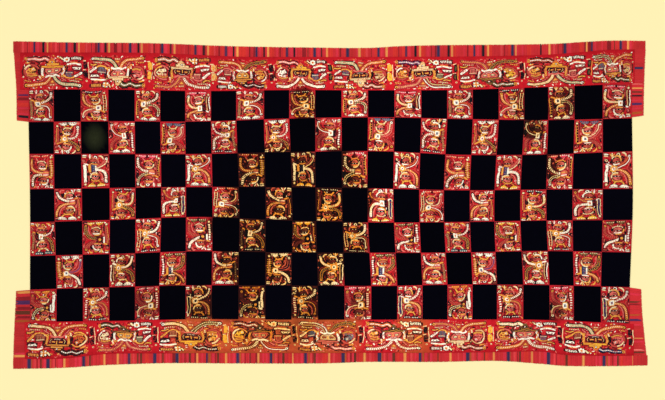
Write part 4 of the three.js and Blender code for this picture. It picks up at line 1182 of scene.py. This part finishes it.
# Stripes across the legs: height, half width, dye.
LEG_STRIPES = {
    "top_left": [(439, 5, "violet"), (424, 5, "deep"), (419, 3, "deep"), (400, 9, "scarlet"), (386, 4, "pink"), (366, 4, "pink"), (355, 6, "ink"), (342, 4, "scarlet")],
    "top_right": [(547, 6, "blue"), (495, 3, "pink"), (484, 2, "rose"), (467, 4, "gold"), (451, 4, "brown"), (435, 4, "ink"), (418, 5, "pink"), (404, 7, "violet"), (388, 4, "pink"), (370, 6, "rust")],
    "bottom_left": [(-353, 3, "gold"), (-377, 5, "deep"), (-393, 6, "violet"), (-414, 5, "deep"), (-432, 7, "brown"), (-449, 4, "deep"), (-465, 4, "rust"), (-606, 3, "gold"), (-596, 3, "pink")],
    "bottom_right": [(-361, 5, "pink"), (-389, 4, "brown"), (-400, 4, "deep"), (-440, 4, "rust"), (-461, 6, "violet"), (-481, 4, "pink"), (-534, 3, "gold"), (-548, 4, "pink"), (-581, 3, "rose"), (-590, 4, "brown")],
}
FRINGE_DYES["rose"] = (0.820, 0.160, 0.130)
for stripe in ("blue", "ink", "gold", "brown"):
    # a stripe's outermost yarns are half ground
    FRINGE_DYES["soft_" + stripe] = tuple(0.55 * a + 0.45 * b for a, b in zip(FRINGE_DYES[stripe], FRINGE_DYES["ground"]))
YARN_PITCH = 3.05


def uneven(p):
    return math.modf(abs(math.sin(p * 12.9898) * 437.5853))[0]


def run_dye(x, stripes, plain_ends):
    rest = "plain" if x < plain_ends[0] or x > plain_ends[1] else "ground"
    if rest == "plain":
        return rest
    for dye, places in stripes.items():
        p = min(places, key=lambda q: abs(x - q))
        half = STRIPE_HALF[dye] * (0.72 + 0.56 * uneven(p)) * (1.0 if stripes is TOP_STRIPES or dye == "gold" else 1.22)
        if abs(x - p) < half:
            return dye if abs(x - p) < half - 1.7 else "soft_" + dye
    for p in stripes["blue"]:
        for k, (off, half, dye) in enumerate(BESIDE_BLUE[stripes is TOP_STRIPES]):
            chance = uneven(p + 7 * k)
            if abs(x - p - off - 7 * (chance - 0.5)) < half * (0.6 + 0.9 * uneven(p + 3 * k)):
                return {"pink": "plain", "scarlet": "deep", "blush": "pink", "deep": "brown"}.get(dye, dye) if chance > 0.78 else dye
    return rest


def yarns(name, top):
    edge, stripes = (TOP_EDGE, TOP_STRIPES) if top else (BOTTOM_EDGE, BOTTOM_STRIPES)
    ends = BAND_ENDS["top" if top else "bottom"]
    out, line = (1, 0) if top else (-1, ROWS)
    legs = [LEGS["top_left"], LEGS["top_right"]] if top else [LEGS["bottom_left"], LEGS["bottom_right"]]
    leg_names = ["top_left", "top_right"] if top else ["bottom_left", "bottom_right"]
    rim_x = lambda leg, y: along([r[0] for r in leg["rows"]], [r[1] for r in leg["rows"]], y)
    roots, tips, dyes, reach, dull = [], [], [], [], []
    x_lo, x_hi = float(rim_x(legs[0], out * 640)) + 1.6, float(rim_x(legs[1], out * 640)) - 1.6
    for x in np.arange(x_lo, x_hi, YARN_PITCH):
        head = float(edge_line(edge, 2, x)) + out * 0.02
        rim = float(edge_line(edge, 1, x))
        roots.append((x, head))
        tips.append((x, rim))
        dyes.append(run_dye(x, stripes, (ends[0] + 6 if top else ends[0] - 6, ends[1] - 4)))
        reach.append(1.0)
        dull.append(0.86 if x < ends[0] else 1.0)
    for leg, leg_name in zip(legs, leg_names):
        end = ends[0] if leg["side"] < 0 else ends[1]
        seam = float(on_check(0 if leg["side"] < 0 else COLUMNS, float(line))[1])
        stop = float(edge_line(edge, 2, leg["side"] * 1250))
        first, last = min(leg["foot"] * 1.0, stop), max(leg["foot"] * 1.0, stop)
        for y in np.linspace(first + 1.5, last - 1.4, int(round((last - first - 2.9) / YARN_PITCH)) + 1):
            beside_band = out * (y - seam) > 0
            root = end if beside_band else float(column_line(0 if leg["side"] < 0 else COLUMNS, y))
            # the foot's edge slants a little from rim to root
            slant = (leg["root"] - leg["foot"]) * np.clip(1 - abs(y - leg["foot"]) / 60, 0, 1)
            roots.append((root + leg["side"] * 0.05, y + slant))
            tips.append((float(rim_x(leg, y)), y))
            dye = "plain" if beside_band else "ground"
            for at, half, want in LEG_STRIPES[leg_name]:
                if abs(y - at) < half * (1.25 if leg_name == "bottom_left" else 0.80):
                    dye = want
            dyes.append(dye)
            reach.append({"top_right": 0.84, "bottom_right": 0.80}.get(leg_name, 0.94) * rng.uniform(0.94, 1.04))
            dull.append(0.88 if leg["side"] < 0 else 1.0)
    roots, tips = np.array(roots), np.array(tips)
    count = len(roots)
    length = np.linalg.norm(tips - roots, axis=1)
    d = (tips - roots) / length[:, None]
    nrm = np.stack([-d[:, 1], d[:, 0]], 1)
    short = rng.uniform(0.0, 0.9, count) ** 2 * 1.4
    sway = rng.normal(0, 0.35, count)
    steps = np.array([0, 0.16, 0.36, 0.58, 0.78, 0.93, 1.0])
    half = YARN_PITCH * 0.54 * np.array([1, 1, 1.0, 1.02, 1.04, 1.0, 0.62])
    z_mid = np.array([1.02, 1.34, 1.48, 1.46, 1.36, 1.16, 0.72])
    co, st, rgb = [], [], []
    reach, dull = np.array(reach), np.array(dull)
    drift = 1.0 + 0.07 * np.sin(roots[:, 0] / 31.0 + 1.3) * np.sin(roots[:, 0] / 83.0) + 0.04 * np.sin(roots[:, 1] / 9.0)
    base = np.array([FRINGE_DYES[x] for x in dyes]) * (rng.uniform(0.90, 1.08, count) * drift * dull)[:, None]
    plain = np.array(FRINGE_DYES["ground"]) * (rng.uniform(0.92, 1.06, count) * drift * dull)[:, None]
    for k, s in enumerate(steps):
        centre = roots + d * ((length - short) * s)[:, None] + nrm * (sway * s * s + 0.16 * np.sin(s * 9 + np.arange(count)))[:, None]
        for side, low in ((-1, 0.72), (0, 0.0), (1, 0.72)):
            z = np.maximum(z_mid[k] + rng.normal(0, 0.04, count) - low, 0.22)
            co.append(np.c_[centre + nrm * (side * half[k]), z])
            st.append(np.c_[length * s, np.full(count, side * half[k])])
            # a yarn's sides are painted darker than its crown: painted shade at its round edges and between
            # neighbouring yarns; the crown grows a little lighter towards the free end
            rgb.append(np.where((s <= reach)[:, None], base, plain) * (0.94 + 0.06 * s if side == 0 else 0.90))
    co, st, rgb = np.stack(co, 1), np.stack(st, 1), np.stack(rgb, 1)
    per = co.shape[1]
    i = (np.arange(len(steps) - 1) * 3)[:, None]
    quads = np.concatenate([i + [0, 1, 4], i + [0, 4, 3], i + [1, 2, 5], i + [1, 5, 4]], 0)
    tri = (quads[None] + (np.arange(count) * per)[:, None, None]).reshape(-1, 3)
    # bake map: the yarns stand side by side in rows
    across = 340
    cx, cy = np.arange(count) % across, np.arange(count) // across
    rows = int(np.ceil(count / across)) + 1
    u = (cx[:, None] + 0.5 + 0.42 * np.tile([-1, 0, 1], len(steps))[None]) / across
    v = (cy[:, None] + 1.05 + 0.9 * np.repeat(steps, 3)[None]) / (rows + 0.1)
    bake = np.stack([u, v], 2).reshape(-1, 2)
    # the woven strip under the yarns, in the dye of the yarns above it darkened to 0.62: painted shade under the yarns
    strip_xy, strip_rgb, strip_tri, n0 = [], [], [], count * per
    xs = np.arange(x_lo, x_hi, YARN_PITCH)
    a = np.c_[xs, edge_line(edge, 2, xs) + out * 0.02]
    b = np.c_[xs, edge_line(edge, 1, xs) - out * 5.5]
    strips = [(a, b, base[:len(xs)])]
    taken = len(xs)
    for leg in legs:
        side = leg["side"]
        end = ends[0] if side < 0 else ends[1]
        seam = float(on_check(0 if side < 0 else COLUMNS, float(line))[1])
        stop = float(edge_line(edge, 2, side * 1250))
        laid = int(np.sum((roots[taken:, 0] < 0) == (side < 0)))
        heights, over = roots[taken:taken + laid, 1], base[taken:taken + laid]
        taken += laid
        for lo, hi, root in ((leg["foot"], seam, None), (seam, stop, end)):
            ys = np.linspace(lo, hi, int(abs(hi - lo) / YARN_PITCH) + 2)
            rx = column_line(0 if side < 0 else COLUMNS, ys) if root is None else np.full(len(ys), float(root))
            near = np.abs(heights[None, :] - ys[:, None]).argmin(1)
            strips.append((np.c_[rx + side * 0.05, ys], np.c_[rim_x(leg, ys) - side * 5.5, ys], over[near]))
    for a, b, over in strips:
        m = len(a)
        strip_xy.append(np.vstack([a, b]))
        # painted shade: the strip is darkened under the yarns that lie over it
        strip_rgb.append(np.vstack([over, over]) * 0.62)
        for k in range(m - 1):
            strip_tri += [(n0 + k, n0 + k + 1, n0 + m + k + 1), (n0 + k, n0 + m + k + 1, n0 + m + k)]
        n0 += 2 * m
    strip_xy = np.vstack(strip_xy)
    strip_co = np.c_[strip_xy, np.full(len(strip_xy), 0.30)]
    lo, hi = strip_xy.min(0), strip_xy.max(0)
    strip_bake = (strip_xy - lo) / (hi - lo) * [0.98, 0.9 / (rows + 0.1)] + [0.01, 0.002]
    all_co = np.vstack([co.reshape(-1, 3), strip_co])
    all_tri = facing_up(all_co, np.vstack([tri, np.array(strip_tri)]))
    all_rgb = np.vstack([rgb.reshape(-1, 3), np.vstack(strip_rgb)])
    all_st = np.vstack([st.reshape(-1, 2), strip_xy])
    all_bake = np.vstack([bake, strip_bake])
    print(name, "yarns", count, "triangles", len(all_tri))
    return new_mesh(name, all_co * MM, all_tri, colours=all_rgb, uvs={"OFBake": all_bake, "Thread": all_st}, smooth=True)


fringe_top = yarns("fringe_yarns_top", True)
fringe_bottom = yarns("fringe_yarns_bottom", False)

# ---------------------------------------------------------------------------------------------------------------
# Materials.


class Nodes:
    def __init__(self, name):
        self.material = bpy.data.materials.new(name)
        self.material.use_nodes = True
        self.tree = self.material.node_tree
        self.tree.nodes.clear()

    def new(self, kind, inputs=None, **props):
        node = self.tree.nodes.new(kind)
        for k, v in props.items():
            setattr(node, k, v)
        for k, v in (inputs or {}).items():
            if hasattr(v, "is_output"):
                self.tree.links.new(v, node.inputs[k])
            else:
                node.inputs[k].default_value = v
        return node

    def math(self, op, a, b=0.0, c=None):
        node = self.new("ShaderNodeMath", {0: a, 1: b} if c is None else {0: a, 1: b, 2: c}, operation=op)
        return node.outputs[0]

    def scaled_colour(self, colour, factor):
        grey = self.new("ShaderNodeCombineColor", {0: factor, 1: factor, 2: factor}).outputs[0]
        node = self.new("ShaderNodeMix", {0: 1.0}, data_type="RGBA", blend_type="MULTIPLY")
        self.tree.links.new(colour, node.inputs[6])
        self.tree.links.new(grey, node.inputs[7])
        return node.outputs[2]

    def finish(self, colour, height, bump_mm, rough, spec, sheen):
        bump = self.new("ShaderNodeBump", {"Strength": 0.8, "Distance": bump_mm * MM, "Height": height})
        shader = self.new("ShaderNodeBsdfPrincipled", {"Base Color": colour, "Roughness": rough, "Specular IOR Level": spec,
                                                       "Sheen Weight": sheen, "Sheen Roughness": 0.5, "Normal": bump.outputs[0]})
        out = self.new("ShaderNodeOutputMaterial", {"Surface": shader.outputs[0]})
        return self.material


def blotches(n, coord):
    """Uneven dyeing and wear: a broad and a fine variation, about one."""
    broad = n.new("ShaderNodeTexNoise", {"Vector": coord, "Scale": 26.0, "Detail": 3.0, "Roughness": 0.55}).outputs[0]
    fine = n.new("ShaderNodeTexNoise", {"Vector": coord, "Scale": 420.0, "Detail": 2.0, "Roughness": 0.6}).outputs[0]
    a = n.math("MULTIPLY_ADD", broad, 0.36, 0.82)
    b = n.math("MULTIPLY_ADD", fine, 0.40, 0.80)
    return n.math("MULTIPLY", a, b)


def ground_wool():
    n = Nodes("wool_ground")
    coord = n.new("ShaderNodeTexCoord").outputs["Object"]
    xyz = n.new("ShaderNodeSeparateXYZ", {0: coord})
    x, y = xyz.outputs[0], xyz.outputs[1]
    dye = n.new("ShaderNodeVertexColor", layer_name="Dye").outputs[0]
    stitched = n.new("ShaderNodeAttribute", attribute_name="Stitched").outputs["Fac"]
    # plain weave of 1.2 mm threads
    warp = n.math("SINE", n.math("MULTIPLY", x, 2 * math.pi / 0.0012))
    weft = n.math("SINE", n.math("MULTIPLY", y, 2 * math.pi / 0.0012))
    weave = n.math("MULTIPLY_ADD", n.math("MULTIPLY", warp, weft), 0.5, 0.5)
    # rows of stem stitch, 2 mm apart, each stitch slanting
    wander = n.new("ShaderNodeTexNoise", {"Vector": coord, "Scale": 18.0, "Detail": 1.0}).outputs[0]
    row_phase = n.math("ADD", n.math("MULTIPLY", y, 2 * math.pi / 0.0021), n.math("MULTIPLY", wander, 9.0))
    rows = n.math("ABSOLUTE", n.math("SINE", n.math("MULTIPLY", row_phase, 0.5)))
    slant = n.math("ADD", n.math("MULTIPLY", x, 2 * math.pi / 0.0034), n.math("MULTIPLY", row_phase, 0.7))
    stitch = n.math("MULTIPLY_ADD", n.math("ABSOLUTE", n.math("SINE", slant)), 0.45, 0.55)
    stem = n.math("MULTIPLY", rows, stitch)
    mix = n.new("ShaderNodeMix", {0: stitched, 2: weave, 3: stem}, data_type="FLOAT").outputs[0]
    patchy = n.new("ShaderNodeTexNoise", {"Vector": coord, "Scale": 95.0, "Detail": 2.0, "Roughness": 0.6}).outputs[0]
    worn = n.math("MULTIPLY_ADD", patchy, 0.50, 0.77)
    # the weave and stem-stitch relief also darkens the colour in its grooves: painted shade, on top of the uneven
    # dyeing, the wear and the bump
    shade = n.math("MULTIPLY", n.math("MULTIPLY", blotches(n, coord), worn), n.math("MULTIPLY_ADD", mix, 0.34, 0.80))
    return n.finish(n.scaled_colour(dye, shade), mix, 0.35, 0.95, 0.02, 0.0)


def stitch_wool():
    n = Nodes("wool_stitches")
    coord = n.new("ShaderNodeTexCoord").outputs["Object"]
    st = n.new("ShaderNodeSeparateXYZ", {0: n.new("ShaderNodeUVMap", uv_map="Thread").outputs[0]})
    s, t = st.outputs[0], st.outputs[1]
    dye = n.new("ShaderNodeVertexColor", layer_name="Dye").outputs[0]
    phase = n.math("ADD", n.math("MULTIPLY", s, 2 * math.pi / 2.6), n.math("MULTIPLY", t, 2 * math.pi / 3.4))
    lay = n.math("ABSOLUTE", n.math("SINE", n.math("MULTIPLY", phase, 0.5)))
    strand = n.math("MULTIPLY_ADD", n.math("SINE", n.math("MULTIPLY", t, 2 * math.pi / 1.3)), 0.25, 0.75)
    height = n.math("MULTIPLY", lay, strand)
    # the stitch relief darkens the colour between stitches and strands: painted shade, on top of the uneven dyeing and
    # the bump
    shade = n.math("MULTIPLY", blotches(n, coord), n.math("MULTIPLY_ADD", height, 0.46, 0.78))
    # worn places, where the thread is rubbed thin and the ground shows
    rubbed = n.new("ShaderNodeTexNoise", {"Vector": coord, "Scale": 185.0, "Detail": 2.5, "Roughness": 0.62}).outputs[0]
    bare = n.new("ShaderNodeMath", {0: n.math("MULTIPLY_ADD", rubbed, 9.0, -4.85), 1: 1.0}, operation="MULTIPLY", use_clamp=True).outputs[0]
    beneath = n.new("ShaderNodeVertexColor", layer_name="Beneath").outputs[0]
    worn = n.new("ShaderNodeMix", {0: n.math("MULTIPLY", bare, 0.88)}, data_type="RGBA", blend_type="MIX")
    n.tree.links.new(dye, worn.inputs[6])
    n.tree.links.new(beneath, worn.inputs[7])
    return n.finish(n.scaled_colour(worn.outputs[2], shade), height, 0.30, 0.86, 0.10, 0.06)


def yarn_wool():
    n = Nodes("wool_yarn")
    coord = n.new("ShaderNodeTexCoord").outputs["Object"]
    st = n.new("ShaderNodeSeparateXYZ", {0: n.new("ShaderNodeUVMap", uv_map="Thread").outputs[0]})
    dye = n.new("ShaderNodeVertexColor", layer_name="Dye").outputs[0]
    phase = n.math("ADD", n.math("MULTIPLY", st.outputs[0], 2 * math.pi / 4.2), n.math("MULTIPLY", st.outputs[1], 2 * math.pi / 2.8))
    ply = n.math("ABSOLUTE", n.math("SINE", n.math("MULTIPLY", phase, 0.5)))
    # the ply relief darkens the colour between plies: painted shade, on top of the uneven dyeing and the bump
    shade = n.math("MULTIPLY", blotches(n, coord), n.math("MULTIPLY_ADD", ply, 0.22, 0.90))
    return n.finish(n.scaled_colour(dye, shade), ply, 0.35, 0.88, 0.08, 0.06)


GROUND, STITCH, YARN = ground_wool(), stitch_wool(), yarn_wool()
for ob, mat in [(field_cloth, GROUND), (band_top_cloth, GROUND), (band_bottom_cloth, GROUND), (fringe_top, YARN), (fringe_bottom, YARN)] + [(o, STITCH) for o in stitch_pieces + band_pieces]:
    ob.data.materials.append(mat)

# ---------------------------------------------------------------------------------------------------------------
# Riding on the frame, and hiding the solids the cloth replaces.

for ob in [field_cloth, band_top_cloth, band_bottom_cloth, fringe_top, fringe_bottom] + stitch_pieces + band_pieces:
    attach(ob, "root")
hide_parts("field")
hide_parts("border_top")
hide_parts("border_bottom")
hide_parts("fringe_top")
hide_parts("fringe_bottom")

# ---------------------------------------------------------------------------------------------------------------
# Floor, light and camera.

floor_mesh = bpy.data.meshes.new("floor")
floor_mesh.from_pydata([(-30, -30, -0.0006), (30, -30, -0.0006), (30, 30, -0.0006), (-30, 30, -0.0006)], [], [(0, 1, 2, 3)])
floor = bpy.data.objects.new("floor", floor_mesh)
bpy.context.scene.collection.objects.link(floor)
fn = Nodes("floor")
fn.new("ShaderNodeOutputMaterial", {"Surface": fn.new("ShaderNodeBsdfPrincipled", {"Base Color": (0.872, 0.758, 0.400, 1.0), "Roughness": 1.0, "Specular IOR Level": 0.0}).outputs[0]})
floor_mesh.materials.append(fn.material)

world = bpy.data.worlds.new("studio")
world.use_nodes = True
world.node_tree.nodes["Background"].inputs[0].default_value = (1.0, 1.0, 1.0, 1.0)
world.node_tree.nodes["Background"].inputs[1].default_value = 0.74
bpy.context.scene.world = world

sun_data = bpy.data.lights.new("key", "SUN")
sun_data.energy = 1.85
sun_data.angle = math.radians(24)
sun = bpy.data.objects.new("key", sun_data)
sun.rotation_euler = (math.radians(-32), math.radians(-30), 0)
bpy.context.scene.collection.objects.link(sun)

camera_data = bpy.data.cameras.new("camera")
camera_data.type = "ORTHO"
camera_data.ortho_scale = 2.66
camera = bpy.data.objects.new("camera", camera_data)
camera.location = (0.008, 0.019, 4.0)
bpy.context.scene.collection.objects.link(camera)
bpy.context.scene.camera = camera
bpy.context.scene.view_settings.view_transform = "Standard"
bpy.context.scene.view_settings.look = "None"
